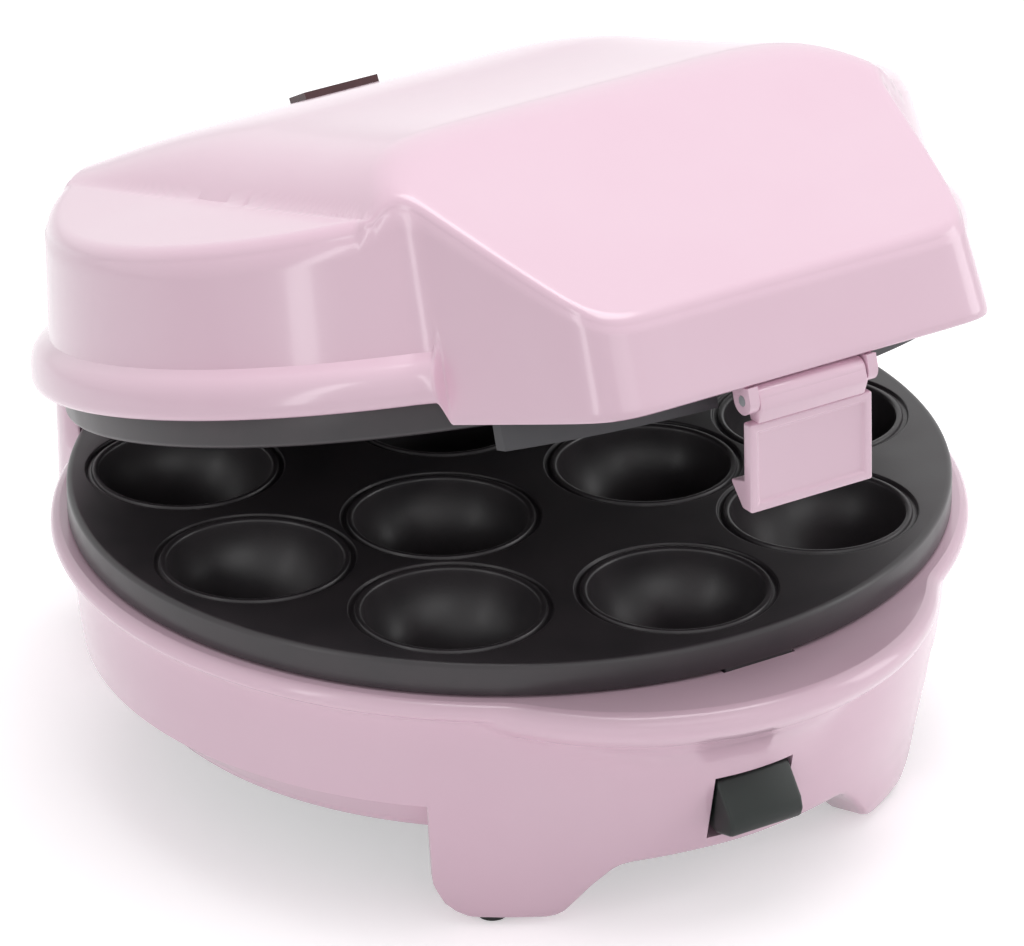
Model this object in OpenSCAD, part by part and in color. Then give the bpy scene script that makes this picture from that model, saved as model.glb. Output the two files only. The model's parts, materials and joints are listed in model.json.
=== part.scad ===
// Cake pop maker: a round countertop cooker with a hinged lid and two plates of round pits.
// Millimetres. +Z is up, the front faces -Y, x = 0 is the plane of symmetry and z = 0 is the
// surface that it stands on. Most heights below are measured from the plane where the two
// plates meet, and lid pieces are drawn with the lid shut.

/* [Plates] */
// Radius of a cooking plate
plate_r = 102; // [98:1:106]
// Height of the plate's rim band
plate_band_h = 7.8; // [7:0.1:9]
// Thickness of the plate's top
plate_skin = 2.6; // [2:0.1:3.5]
// Thickness of the plate's rim band
plate_wall = 2.2; // [1.6:0.1:3]
// Radius of one round pit, half of a cake pop
pit_r = 20; // [18:0.5:20.5]
// Thickness of a pit's cup
pit_wall = 2.4; // [1.6:0.1:2.6]
// Pits in the outer row
outer_pits = 9; // [6:1:9]
// Pits in the inner row
inner_pits = 3; // [2:1:3]
// Turn of the pit pattern from the front
pit_turn = -3; // [-20:1:20]
// Width of the raised land round a pit
land_w = 1.5; // [1:0.1:2]
// Width of the groove outside the land
groove_w = 1.5; // [0.8:0.1:1.6]
// Depth of the groove
groove_d = 0.8; // [0.4:0.1:1.2]
// Gap between the two plates when the lid is shut
plate_gap = 0.4; // [0.2:0.1:1]

/* [Base] */
// Height of the plates' meeting plane over the shell's feet
shell_h = 68; // [66:0.5:72]
// Wall of the mouldings
wall = 2.5; // [2:0.1:2.8]
// How far the base rim stands out past the plate
rim_out = 4; // [3.5:0.1:5]
// Depth of the skirt under the meeting plane
skirt_depth = 38.2; // [37:0.2:40]
// Depth of the lower tier under the meeting plane
tier_depth = 49; // [48:0.2:50]
// How far the lower tier steps in from the skirt
tier_step = 6.2; // [5:0.1:7]
// How far the tier tapers in on its way down
tier_taper = 5; // [3:0.1:6]
// Half width of the pair of front feet
feet_half_w = 67.5; // [64:0.5:69]
// Width of one foot at the ground
foot_w = 17; // [12:0.5:20]
// Half width of the arch between two feet
arch_half_w = 29; // [20:0.5:34]
// Height of the arch over the foot's end
arch_h = 12.8; // [10:0.2:14]
// Height of a rubber pad under the foot
pad_h = 1.5; // [1:0.1:3]
// Radius of a rubber pad
pad_r = 3.4; // [2.5:0.1:3.8]

/* [Chin] */
// How far the chin's front stands back from the nose's front
chin_set_back = 7.5; // [6:0.5:9]
// Radius of the chin's curve in plan
chin_r = 70; // [68:0.2:71]
// Depth of the chin's lower edge under the meeting plane
chin_depth = 18.8; // [18:0.1:19]

/* [Hinge] */
// Distance from the plate's edge back to the hinge axis
hinge_gap = 8; // [7:0.2:10]
// Height of the hinge axis over the meeting plane
hinge_z = 13.5; // [13:0.1:15]
// Angle that the lid stands open
lid_open = 16.5; // [0:0.5:78]
// Radius of a hinge pin
hinge_pin_r = 2; // [1.5:0.1:2.5]
// Half width of the lid's hinge block
hinge_block_half = 30; // [26:0.5:32]
// Width of one hinge ear on the base
ear_w = 7.5; // [6:0.5:9]
// Height of the hinge tower over the meeting plane
tower_top = 4; // [2:0.1:4.2]
// Distance from the hinge axis back to the tower's flat back
tower_behind = 8; // [7:0.5:11]

/* [Lid] */
// How far the lid's drum stands out past the plate at its lip
lid_out = 1; // [0.5:0.1:2]
// How far the lip bead stands out
bead_out = 4.3; // [3:0.1:5]
// Height of the lip's lower edge
lip_z = 8; // [8:0.1:9]
// Height where the lip bead meets the drum
bead_top = 18.6; // [17:0.2:20]
// Height of the shoulders beside the raised middle
shoulder_z = 48; // [46:0.5:50]
// Drop of the shoulder for each millimetre outward
shoulder_slope = 0.13; // [0.05:0.01:0.2]
// Half width of the raised middle
hill_half = 69; // [64:0.5:74]
// Squareness of the raised middle in its cross section
hill_power = 8; // [2:1:12]
// Height of the crown
crown_z = 59.5; // [58:0.5:62]
// Slope of the walls, run for each millimetre of rise
draft = 0.143; // [0.1:0.001:0.16]
// Radius of the lid's top edge
edge_r = 4.5; // [2:0.5:6]

/* [Nose] */
// How far the nose reaches past the plate
nose_out = 25.5; // [25:0.5:27]
// Height of the nose's lower edge
nose_z = 2.5; // [2.4:0.1:3]
// Height of the nose's front top edge
nose_top = 23.5; // [22:0.5:26]
// Rise of the ramp for each millimetre back
ramp_slope = 0.577; // [0.5:0.01:0.65]
// Half width of the nose where it leaves the drum
nose_root_half = 66.5; // [64:0.5:68]
// Distance from the plate's front edge back to where the nose leaves the drum
nose_root_back = 19; // [17:0.5:21]
// Half width of the nose at its front
nose_tip_half = 50; // [46:0.5:52]

/* [Latch] */
// Half width of the latch's panel
latch_half = 16; // [14:0.5:18]
// Radius of the latch's pin
latch_pin_r = 1.2; // [0.8:0.1:1.4]
// Radius of the latch's knuckle
knuckle_r = 2.8; // [2.6:0.1:2.8]
// Inward slant of the panel
latch_slant = 15; // [12:0.5:16]
// Thickness of the panel
latch_t = 3; // [2.4:0.1:3.2]
// Depth of the hook
hook_d = 5.4; // [4:0.1:5.6]
// Height of the hook
hook_h = 6; // [4:0.5:7]

/* [Levers] */
// Half width of the release levers
lever_half = 9.8; // [8:0.1:10.2]
// Radius of a lever's pin
lever_pin_r = 1.5; // [1:0.1:1.8]
// Wire of a lever's spring
spring_wire = 0.9; // [0.6:0.1:1]

/* [Heating] */
// Radius of the heating element's tube
element_tube_r = 3.3; // [2.5:0.1:3.5]
// Gap between the pits' cups and the element
element_gap = 1.3; // [1:0.1:2]
// Sheet of the reflector pans
pan_t = 0.6; // [0.4:0.1:1]
// Depth of the pan's flange under the meeting plane
pan_seat = 13; // [12.5:0.1:13.5]
// Depth of the pan's floor under the meeting plane
pan_depth = 31.6; // [31:0.1:32]
// Radius of the screws
screw_r = 1.5; // [1.2:0.1:1.8]

/* [Lamp] */
// Length of the lamp's bezel across the lid
lamp_w = 20; // [16:0.5:24]
// Width of the bezel from front to back
lamp_d = 8; // [6:0.5:10]
// Distance of the lamp behind the plate's centre
lamp_y = 60; // [50:1:66]
// How far the bezel stands over the lid
lamp_proud = 1.8; // [1:0.1:3]

/* [Hidden] */
$fn = 96;
// Clearance of a shaft in its bore, and between two seated pieces
run_fit = 0.05;
seat_fit = 0.3;
eps = 0.5;
pink = "#EBCBDA";
coat = "#2C2C30";
steel = "#B4B7BC";
bright = "#D2D4D6";
dark_green = "#1E2B28";

// Plates
mate_z = shell_h + pad_h;
face_z = -plate_gap / 2;
bowl_r = pit_r + pit_wall;
rim_gap = 2.7;
row_overlap = 1.1;
outer_row_r = plate_r - plate_wall - bowl_r - rim_gap;
inner_row_r = outer_row_r - 2 * bowl_r + row_overlap;
plate_low = plate_gap / 2 + plate_band_h;
tongue_half = 9;
tongue_t = 2;
tongue_y = plate_r - plate_wall - seat_fit;
tongue_z = 17;
window_half = 6.2;
window_top = 12;
window_low = 16.2;
tab_x0 = 12;
tab_x1 = 24;
tab_out = 4;
tab_t = 2;

// Lid
nose_reach = plate_r + nose_out;
nose_root_y = plate_r - nose_root_back;
lid_r = plate_r + lid_out;
hinge_y = plate_r + hinge_gap;
block_r = 8;
block_top = 28;
pan_r = outer_row_r + sqrt(bowl_r * bowl_r - pow(pan_seat - pan_t, 2)) + 0.25;
flange_r = pan_r + 2.4;
frame_t = 2.6;
frame_in_r = pan_r + pan_t + 0.4;
frame_r = lid_r - draft * (pan_seat + frame_t - bead_top) - wall - 0.7;
head_h = 2;
head_r = 2 * screw_r;
hole_r = screw_r + 0.3;
screw_angles = [38, 142, 218, 322];
lid_boss_r = 3.6;
lid_screw_at = (frame_in_r + frame_r) / 2 + 0.5;
lid_screw_l = 9;
guard_r = plate_r + 1.5;
guard_half = 57;
shelf_half = 38;
shelf_front = nose_reach - 7.5;
side_run = (nose_root_half - nose_tip_half) / (nose_reach - nose_root_y);
root_a = atan(nose_root_half / nose_root_y);
corner_power = 30;
crown_y = 10;
fall_back = 0.0022;
rise_front = 0.0004;
blend_w = 5;

// Base
ledge_z = -plate_low - seat_fit;
well_r = outer_row_r + bowl_r + 0.7;
skirt_r = well_r + wall;
rim_r = plate_r + rim_out;
tier_r = skirt_r - tier_step;
tier_low_r = tier_r - tier_taper - 1;
foot_out_r = skirt_r - 5.8;
cover_hole_r = tier_low_r - 4;
cover_r = cover_hole_r - seat_fit;
cover_z = -tier_depth;
cover_t = 2;
boss_r = 4;
boss_at = cover_r - 8;
boss_angles = [45:90:315];
boss_rib = (feet_half_w - 1.5) * sqrt(2);
post_at = outer_row_r - 9.7;
post_angles = [30:120:270];
foot_inner_x = feet_half_w - foot_w - 7.5;
foot_x = (feet_half_w - 6 + foot_inner_x) / 2;
foot_ring = (cover_hole_r + foot_out_r) / 2;
chin_back = nose_reach - chin_set_back - chin_r;
chin_lip = chin_r - 5;
catch_r = chin_r - 8.2;
chin_bottom = 35;
tower_r = plate_r + 2.5;
tower_back = hinge_y + tower_behind;
ear_r = 5.5;
ear_x0 = hinge_block_half + 0.5;
ear_x1 = ear_x0 + ear_w;
tower_x0 = ear_x1 + 33;
tower_x1 = ear_x1 + 14;
clip_t = 1;
clip_gap = 0.3;
clip_y0 = plate_r + 1.2;
clip_y1 = plate_r + tab_out + 0.6 + clip_t;
clip_w = tab_x1 - tab_x0 + 2 * (clip_gap + clip_t);
gland_z = -26;
gland_r = 7;
gland_out = 4.1;
cord_r = 3.4;

// Heating
terminal_x = 9;
element_r = (outer_row_r + inner_row_r) / 2 + 3;
element_z = -(bowl_r + element_gap + element_tube_r);
element_open = asin(terminal_x / element_r);
terminal_y = element_r * cos(element_open);
terminal_low = pan_depth + 8;
clamp_w = 8;
clamp_r = element_tube_r + 0.65;
block_w = 30;
block_d = 12;
block_h = 9;

// Levers
lever_y = -plate_r + 13;
lever_z = -41.5;
arm_half = lever_half - 4;
cheek_gap = 0.6;
cheek_t = 2.6;
slot_half = lever_half + 0.7;
slot_top = 35.5;
slot_low = 52;
coils = 3;
upper_y = -plate_r - 6;
upper_z = 6;
upper_half = lever_half - 1.8;
upper_cheek_x = upper_half + cheek_gap;

// Latch
latch_y = -nose_reach + 3.3;
latch_z = -0.8;
lug_x0 = latch_half - 1.7;
lug_x1 = lug_x0 + 2.5;
lug_r = 3.2;

// Points of an arc, from angle a0 to a1, about c
function arc(c, r, a0, a1, n = 8) =
    [for (i = [0:n]) let (a = a0 + (a1 - a0) * i / n) c + r * [cos(a), sin(a)]];
function unit(v) = v / norm(v);
// The corner at b of the path a-b-c, rounded to radius r
function corner(a, b, c, r, n = 6) =
    let (u = unit(a - b), v = unit(c - b), half = acos(u * v) / 2)
    let (m = b + unit(u + v) * r / sin(half), p = b + u * r / tan(half), q = b + v * r / tan(half))
    let (a0 = atan2(p[1] - m[1], p[0] - m[0]), a1 = atan2(q[1] - m[1], q[0] - m[0]))
    let (turn = a1 - a0, short = turn > 180 ? turn - 360 : turn < -180 ? turn + 360 : turn)
    r == 0 ? [b] : arc(m, r, a0, a0 + short, n);
// A closed outline of [x, y, corner radius] points
function rounded(pts) =
    let (n = len(pts), at = [for (p = pts) [p[0], p[1]]])
    [for (i = [0:n - 1]) each corner(at[(i + n - 1) % n], at[i], at[(i + 1) % n], pts[i][2])];
function mirrored(half) =
    concat(half, [for (i = [len(half) - 1:-1:0]) [-half[i][0], half[i][1], half[i][2]]]);
// Side outline points given from the plate's front edge
function from_edge(pts) = [for (p = pts) [p[0] - plate_r, p[1]]];

module at_plates() translate([0, 0, mate_z]) children();
// Places a lid piece, drawn with the lid shut
module on_lid()
    translate([0, hinge_y, mate_z + hinge_z]) rotate([-lid_open, 0, 0])
        translate([0, -hinge_y, -hinge_z]) children();
module turned_over() mirror([0, 0, 1]) children();
// A side outline of (y, z) points, drawn from x0 to x1
module side(x0, x1) translate([x0, 0, 0]) rotate([90, 0, 90]) linear_extrude(x1 - x0) children();
// A front outline of (x, z) points, drawn from y0 to y1
module front(y0, y1) translate([0, y1, 0]) rotate([90, 0, 0]) linear_extrude(y1 - y0) children();
module both_sides() { children(); mirror([1, 0, 0]) children(); }
module front_back() { children(); mirror([0, 1, 0]) children(); }
module around(angles, r) for (a = angles) rotate(a) translate([r, 0, 0]) children();
module pin_x(r, x0, x1, at)
    translate([x0, at[0], at[1]]) rotate([0, 90, 0]) cylinder(r = r, h = x1 - x0);
module ring(r_in, r_out, z0, z1) translate([0, 0, z0]) difference() {
    cylinder(r = r_out, h = z1 - z0);
    translate([0, 0, -eps]) cylinder(r = r_in, h = z1 - z0 + 2 * eps);
}
// A block from corner a to corner b
module block(a, b) translate(a) cube(b - a);

// Plates

module at_pits() {
    around([for (i = [0:outer_pits - 1]) pit_turn - 90 + i * 360 / outer_pits], outer_row_r)
        children();
    around([for (i = [0:inner_pits - 1]) pit_turn + 90 + i * 360 / inner_pits], inner_row_r)
        children();
}
// A plate lying as the lower one, with its face up
module plate() difference() {
    union() {
        translate([0, 0, face_z - plate_skin]) cylinder(r = plate_r, h = plate_skin);
        ring(plate_r - plate_wall, plate_r, -plate_low, face_z);
        at_pits() difference() {
            sphere(r = bowl_r);
            translate([-bowl_r, -bowl_r, face_z - plate_skin / 2]) cube(2 * bowl_r + eps);
        }
        block([-tongue_half, -tongue_y - tongue_t, -tongue_z],
            [tongue_half, -tongue_y, face_z - plate_skin / 2]);
        both_sides() block([tab_x0, plate_r - 4, -plate_low],
            [tab_x1, plate_r + tab_out, tab_t - plate_low]);
    }
    at_pits() {
        sphere(r = pit_r);
        ring(pit_r + land_w, pit_r + land_w + groove_w, face_z - groove_d, eps);
    }
    block([-window_half, -tongue_y - tongue_t - eps, -window_low],
        [window_half, -tongue_y + eps, -window_top]);
}
module lower_plate() color(coat) at_plates() plate();
module upper_plate() color(coat) on_lid() turned_over() plate();

// Base

// Half outline of the base's wall, as (radius, height); t is the depth under the skin
module base_profile(t) {
    up = t > 0 ? eps : 0;
    rim = concat([[rim_r - 2.2, ledge_z]], arc([rim_r - 2.4, ledge_z - 2.4], 2.4, 75, -60, 6),
        [[skirt_r + 0.6, -15.5]]);
    polygon([[0, ledge_z + up], each t > 0 ? [[well_r, ledge_z + up]] : rim,
        [skirt_r - t, -30], [skirt_r - 1.1 - t, -skirt_depth + t],
        [tier_r - t * 0.9, -skirt_depth + t], [tier_low_r - t * 0.9, -tier_depth - up],
        [0, -tier_depth - up]]);
}
// The chin under the front of the rim, round its own centre
module chin_profile(t) {
    top = ledge_z - t;
    edge = t > 0 ? 1.2 : 3.4;
    polygon([[0, top], each arc([chin_r - edge - t, top - edge], edge, 90, 0, 6),
        [chin_r - t, -13], [chin_r - 1.6 - t, -15.6], [chin_lip + 0.6 - t, -chin_depth + 0.5 + t],
        [chin_lip - t, -chin_depth + t], [catch_r - t, -chin_depth + t], [catch_r - 1.6 - t, -20.4],
        [catch_r - 4 - t, -23.2], [catch_r - 7 - t, -26.5], [catch_r - 9.4 - t, -30.5],
        [catch_r - 11 - t, -chin_bottom], [0, -chin_bottom]]);
}
module chin(t) intersection() {
    translate([0, -chin_back, 0]) rotate_extrude() chin_profile(t);
    block([-chin_r, -chin_r - chin_back - eps, -skirt_depth], [chin_r, 10 - chin_back, 0]);
}
// The pair of feet seen from the front; t shrinks it to the hollow inside
module feet_outline(t) {
    low = -shell_h + t;
    polygon(rounded(mirrored([[feet_half_w - t, -skirt_depth + 4, 0],
        [feet_half_w - t, low + 7, t > 0 ? 3 : 8], [feet_half_w - 6 - t, low, 5],
        [foot_inner_x + t, low, 3], [arch_half_w + 6 + t, low + arch_h - 5, 0],
        [arch_half_w + t / 2, low + arch_h, 3]])));
}
module feet(t) intersection() {
    front(-skirt_r - 10, -skirt_r * 0.4) feet_outline(t);
    rotate_extrude() polygon([[cover_hole_r + t, -shell_h], [foot_out_r - t, -shell_h],
        [foot_out_r + 1.2 - t, -58], [skirt_r - 2 - t, -44], [skirt_r - 1.1 - t, -skirt_depth],
        [skirt_r - 1.1 - t, -skirt_depth + 3 + t], [cover_hole_r + t, -skirt_depth + 3 + t]]);
}
module tower_plan(t) polygon(rounded(mirrored([[tower_x0 - t, plate_r - 42, 0],
    [tower_x0 - t, plate_r - 16, 3], [tower_x1 - t, tower_back - t, 9 - t]])));
module tower(t) {
    translate([0, 0, -skirt_depth + t]) linear_extrude(skirt_depth + ledge_z - 2 * t) tower_plan(t);
    translate([0, 0, ledge_z - t - eps]) linear_extrude(tower_top - ledge_z + eps) difference() {
        tower_plan(t);
        circle(r = tower_r + t);
    }
}
module ears() both_sides() difference() {
    union() {
        pin_x(ear_r, ear_x0, ear_x1, [hinge_y, hinge_z]);
        block([ear_x0, hinge_y - ear_r, tower_top - wall], [ear_x1, hinge_y + ear_r, hinge_z]);
    }
    pin_x(hinge_pin_r + run_fit, ear_x0 - 1, ear_x1 + 1, [hinge_y, hinge_z]);
}
// Brackets inside the front wall that hold the lever's pin
module lever_cheeks() both_sides() difference() {
    block([lever_half + cheek_gap, lever_y - 7.5, lever_z - 5.5],
        [lever_half + cheek_gap + cheek_t, lever_y + 4, lever_z + 5.5]);
    pin_x(lever_pin_r + run_fit, 0, 2 * lever_half, [lever_y, lever_z]);
}
// Posts inside the bottom edge that take the cover's screws
module cover_bosses() around(boss_angles, 0) difference() {
    union() {
        translate([boss_at, 0, cover_z + cover_t]) cylinder(r = boss_r, h = 8);
        block([boss_at, -1.25, cover_z + cover_t], [boss_rib, 1.25, cover_z + cover_t + 8]);
    }
    translate([boss_at, 0, cover_z]) cylinder(r = screw_r + run_fit, h = 8);
}
// Ledge inside the drum for the pan's flange, open in front for the lever's arm
module pan_ledge() difference() {
    ring(frame_in_r, well_r + eps, -pan_seat - 2, -pan_seat);
    block([-lever_half - 1, -plate_r, -20], [lever_half + 1, 20 - plate_r, 0]);
}
module base_shell() color(pink) at_plates() difference() {
    union() {
        difference() {
            union() {
                rotate_extrude() base_profile(0);
                chin(0);
                front_back() feet(0);
                tower(0);
            }
            rotate_extrude() base_profile(wall);
            chin(wall);
            front_back() feet(wall);
            tower(wall);
            translate([0, 0, -shell_h - eps])
                cylinder(r = cover_hole_r, h = shell_h - tier_depth + wall + eps);
        }
        pan_ledge();
        ears();
        lever_cheeks();
        cover_bosses();
    }
    // Slot for the release lever
    block([-slot_half, -skirt_r - 10, -slot_low], [slot_half, 10 - skirt_r, -slot_top]);
    // Notch for the plate's tongue
    block([-tongue_half - 1, -tongue_y - tongue_t - 0.6, ledge_z - wall - eps],
        [tongue_half + 1, 6 - tongue_y, eps]);
    // Pockets for the rear clips
    both_sides() {
        rear_clip_block(0);
        block([tab_x0 - clip_gap - clip_t, plate_r - 3, -plate_low - clip_gap],
            [tab_x0 - clip_gap - clip_t + clip_w, plate_r + 2, tab_t - plate_low + clip_gap]);
    }
    // Hole for the cord's gland
    translate([0, tower_back - 10, gland_z]) rotate([-90, 0, 0]) cylinder(r = gland_r, h = 20);
}
// The clip's outer block, or with t its hollow, which is open to the front
module rear_clip_block(t) block(
    [tab_x0 - clip_gap - clip_t + t, clip_y0 - (t > 0 ? eps : 0), -plate_low - clip_gap - clip_t + t],
    [tab_x1 + clip_gap + clip_t - t, clip_y1 - t, tab_t - plate_low + clip_gap + clip_t - t]);
module rear_clip() difference() {
    rear_clip_block(0);
    rear_clip_block(clip_t);
}
module lower_rear_clips() color(steel) at_plates() both_sides() rear_clip();
module upper_rear_clips() color(steel) on_lid() turned_over() both_sides() rear_clip();

module bottom_cover() color("#C9C9CC") at_plates() difference() {
    union() {
        translate([0, 0, cover_z]) cylinder(r = cover_r, h = cover_t);
        translate([0, 0, cover_z + cover_t / 2]) around(post_angles, post_at)
            cylinder(r = boss_r, h = tier_depth - cover_t / 2 - pan_depth);
    }
    translate([0, 0, cover_z - 1]) around(boss_angles, boss_at) cylinder(r = hole_r, h = 5);
    translate([0, 0, -pan_depth - 8]) around(post_angles, post_at)
        cylinder(r = screw_r + run_fit, h = 10);
    for (y = [-24:8:24]) block([-18, y - 1.25, cover_z - 1], [18, y + 1.25, cover_z + 3]);
}
// A screw with its head up, seated on z = 0
module screw(length) {
    cylinder(r = head_r, h = head_h);
    translate([0, 0, -length]) cylinder(r = screw_r, h = length + head_h);
}
module bottom_screws() color(steel) at_plates()
    translate([0, 0, cover_z]) turned_over() around(boss_angles, boss_at) screw(8);
module pan_screws() translate([0, 0, pan_t - pan_depth]) around(post_angles, post_at) screw(7);
module lower_pan_screws() color(steel) at_plates() pan_screws();
module upper_pan_screws() color(steel) on_lid() turned_over() pan_screws();
module rubber_feet() color("#3A3A3C") both_sides() front_back()
    translate([foot_x, -sqrt(foot_ring * foot_ring - foot_x * foot_x), 0])
        cylinder(r = pad_r, h = pad_h);
module cord_gland() color("#DDB9CA") at_plates()
    translate([0, tower_back, gland_z]) rotate([-90, 0, 0]) difference() {
        union() {
            translate([0, 0, -wall - 4]) cylinder(r = gland_r, h = wall + 4);
            cylinder(r = gland_r + 2, h = 2);
            cylinder(r1 = gland_r - 1, r2 = gland_r - 2, h = gland_out);
        }
        translate([0, 0, -wall - 5]) cylinder(r = cord_r, h = 30);
    }

// Heating

module pan() difference() {
    rotate_extrude() polygon([[0, -pan_depth], [pan_r - 6, -pan_depth], [pan_r + pan_t, -pan_seat],
        [flange_r, -pan_seat], [flange_r, -pan_seat + pan_t], [pan_r, -pan_seat + pan_t],
        [pan_r - 6.3, -pan_depth + pan_t], [0, -pan_depth + pan_t]]);
    translate([0, 0, -pan_depth - eps]) {
        around(post_angles, post_at) cylinder(r = screw_r + 0.2, h = 5);
        both_sides() translate([terminal_x, terminal_y, 0]) cylinder(r = element_tube_r + 0.3, h = 5);
    }
    // Notches in the flange for the heads of the lid's screws, and for the lever's arm
    translate([0, 0, -pan_seat - 1]) around(screw_angles, lid_screw_at)
        cylinder(r = head_r + 0.4, h = 3);
    block([-lever_half - 1.5, -plate_r, -pan_seat - 1], [lever_half + 1.5, 1 - pan_r, 0]);
}
module lower_pan() color(bright) at_plates() pan();
module upper_pan() color(bright) on_lid() turned_over() pan();
// The element's tube is a ring that is open at the back, where its ends turn away from the plate
module element() {
    rotate(90 + element_open) rotate_extrude(angle = 360 - 2 * element_open)
        translate([element_r, element_z]) circle(r = element_tube_r);
    both_sides() translate([terminal_x, terminal_y, -terminal_low]) {
        cylinder(r = element_tube_r, h = terminal_low + element_z);
        translate([0, 0, terminal_low + element_z]) sphere(r = element_tube_r + 0.12);
        translate([0, 0, -4]) cylinder(r = 1.2, h = 5);
    }
}
module lower_element() color("#6E6A66") at_plates() element();
module upper_element() color("#6E6A66") on_lid() turned_over() element();
// Saddles that stand on the pan and hold the tube
module element_clamps() around([-30:120:210], element_r) difference() {
    union() {
        translate([0, clamp_w / 2, element_z]) rotate([90, 0, 0]) cylinder(r = clamp_r, h = clamp_w);
        block([-clamp_r, -clamp_w / 2, pan_t - pan_depth], [clamp_r, clamp_w / 2, element_z]);
    }
    translate([0, clamp_w, element_z]) rotate([90, 0, 0])
        cylinder(r = element_tube_r + 0.25, h = 2 * clamp_w);
}
module lower_element_clamps() color(steel) at_plates() element_clamps();
module upper_element_clamps() color(steel) on_lid() turned_over() element_clamps();
module thermostat() translate([0, -20, -pan_depth]) {
    translate([0, 0, -7]) cylinder(r = 8, h = 7);
    translate([-12, -3, -1]) cube([24, 6, 1]);
    both_sides() translate([3, -3, -12]) cube([0.8, 6, 6]);
}
module lower_thermostat() color(steel) at_plates() thermostat();
module upper_thermostat() color(steel) on_lid() turned_over() thermostat();
module thermal_fuse() color("#D8CFC0") at_plates()
    translate([28, 8, -pan_depth - 2.2]) rotate([0, 90, 0]) {
        cylinder(r = 2.2, h = 14, center = true);
        cylinder(r = 0.6, h = 24, center = true);
    }
module terminal_block() color("#E6E2D6") at_plates()
    translate([-block_w / 2, terminal_y - element_tube_r - 4 - block_d, cover_z + cover_t])
        difference() {
            cube([block_w, block_d, block_h]);
            for (i = [0:2]) translate([5 + 10 * i, block_d / 2, 4]) cylinder(r = 2, h = 6);
        }

// Release levers

// The lower lever: a tab outside the slot, a hub on the pin and an arm up to the plate's tongue
module lower_release_lever() color(dark_green) at_plates() difference() {
    union() {
        pin_x(4, -lever_half, lever_half, [lever_y, lever_z]);
        side(-lever_half, lever_half) polygon(concat([[lever_y - 1, lever_z - 4]],
            from_edge([[8, -48.4], [3.4, -50], [-0.4, -45], [-0.4, -40.6], [3.8, -37], [7, -36.5]]),
            [[lever_y + 1, lever_z + 4]]));
        side(-arm_half, arm_half) polygon(concat([[lever_y - 3, lever_z + 2]],
            from_edge([[7.4, -37], [6.7, -30], [3.6, -24], [-0.4, -19.6], [-3.2, -17.4],
                [-3.2, -11.4], [-1.6, -11.4], [-1.6, -12.4], [2.2, -12.9], [2.2, -14.2],
                [-1.6, -15.7], [-1.6, -17], [2.4, -17.6], [6, -22.6], [9.2, -29]]),
            [[lever_y, lever_z + 3]]));
    }
    pin_x(lever_pin_r + run_fit, -2 * lever_half, 2 * lever_half, [lever_y, lever_z]);
    block([-3, lever_y - 3, lever_z - 6], [3, lever_y + 7, lever_z + 6]);
}
module lower_lever_pin() color(steel) at_plates()
    pin_x(lever_pin_r, -lever_half - cheek_gap - cheek_t, lever_half + cheek_gap + cheek_t,
        [lever_y, lever_z]);
// A torsion spring drawn as closed coils, with one leg toward the lever
module torsion_spring(at, turn, leg) {
    r = lever_pin_r + 0.3 + spring_wire / 2;
    pitch = 0.8 * spring_wire;
    translate([0, at[0], at[1]]) {
        rotate([0, 90, 0]) rotate_extrude() for (i = [0:coils - 1])
            translate([r, (i - (coils - 1) / 2) * pitch]) circle(r = spring_wire / 2, $fn = 24);
        rotate([turn, 0, 0]) translate([0, 0, r]) cylinder(r = spring_wire * 0.4, h = leg, $fn = 24);
    }
}
module lower_lever_spring() color(steel) at_plates() torsion_spring([lever_y, lever_z], -90, 2.6);

module upper_release_lever() color(dark_green) on_lid() difference() {
    union() {
        pin_x(3, -upper_half, upper_half, [upper_y, upper_z]);
        side(-upper_half, upper_half) polygon(concat([[upper_y + 3, upper_z]],
            from_edge([[-4.3, -4], [-6.4, -5.2], [-8.8, -4]]), [[upper_y - 3, upper_z]]));
        side(-upper_half + 2, upper_half - 2) polygon(concat([[upper_y - 1.5, upper_z]],
            from_edge([[-5, 17], [-1.6, 17], [-1.6, 15.8], [2.2, 14.2], [2.2, 12.9], [-1.6, 12.4],
                [-2.4, 11]]), [[upper_y + 2.6, upper_z]]));
    }
    pin_x(lever_pin_r + run_fit, -2 * upper_half, 2 * upper_half, [upper_y, upper_z]);
    block([-3, upper_y - 5, upper_z - 3.4], [3, upper_y + 5, upper_z + 3.4]);
}
module upper_lever_pin() color(steel) on_lid()
    pin_x(lever_pin_r, -upper_cheek_x - cheek_t, upper_cheek_x + cheek_t, [upper_y, upper_z]);
module upper_lever_spring() color(steel) on_lid() torsion_spring([upper_y, upper_z], 0, 1.1);

// Lid

// Lugs under the nose for the latch's pin
module latch_lugs() both_sides() {
    pin_x(lug_r, lug_x0, lug_x1, [latch_y, latch_z]);
    side(lug_x0, lug_x1) polygon([[latch_y - lug_r, latch_z], [latch_y - lug_r, nose_z - 0.4],
        [latch_y + 1.9, nose_z - 0.4], [latch_y + 1.9, pan_seat + frame_t],
        [latch_y + 12.2, pan_seat + frame_t], [latch_y + 12.2, pan_seat - 1],
        [latch_y + lug_r, nose_z - 1], [latch_y + lug_r, latch_z]]);
}
module hinge_block() side(-hinge_block_half, hinge_block_half) polygon(concat(
    [[pan_r + 3, pan_seat], [hinge_y - block_r, pan_seat]],
    arc([hinge_y, hinge_z], block_r, 180, 360, 12),
    corner([hinge_y + block_r, hinge_z], [hinge_y + block_r, block_top], [pan_r, block_top], 7),
    [[pan_r + 3, block_top]]));
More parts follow.
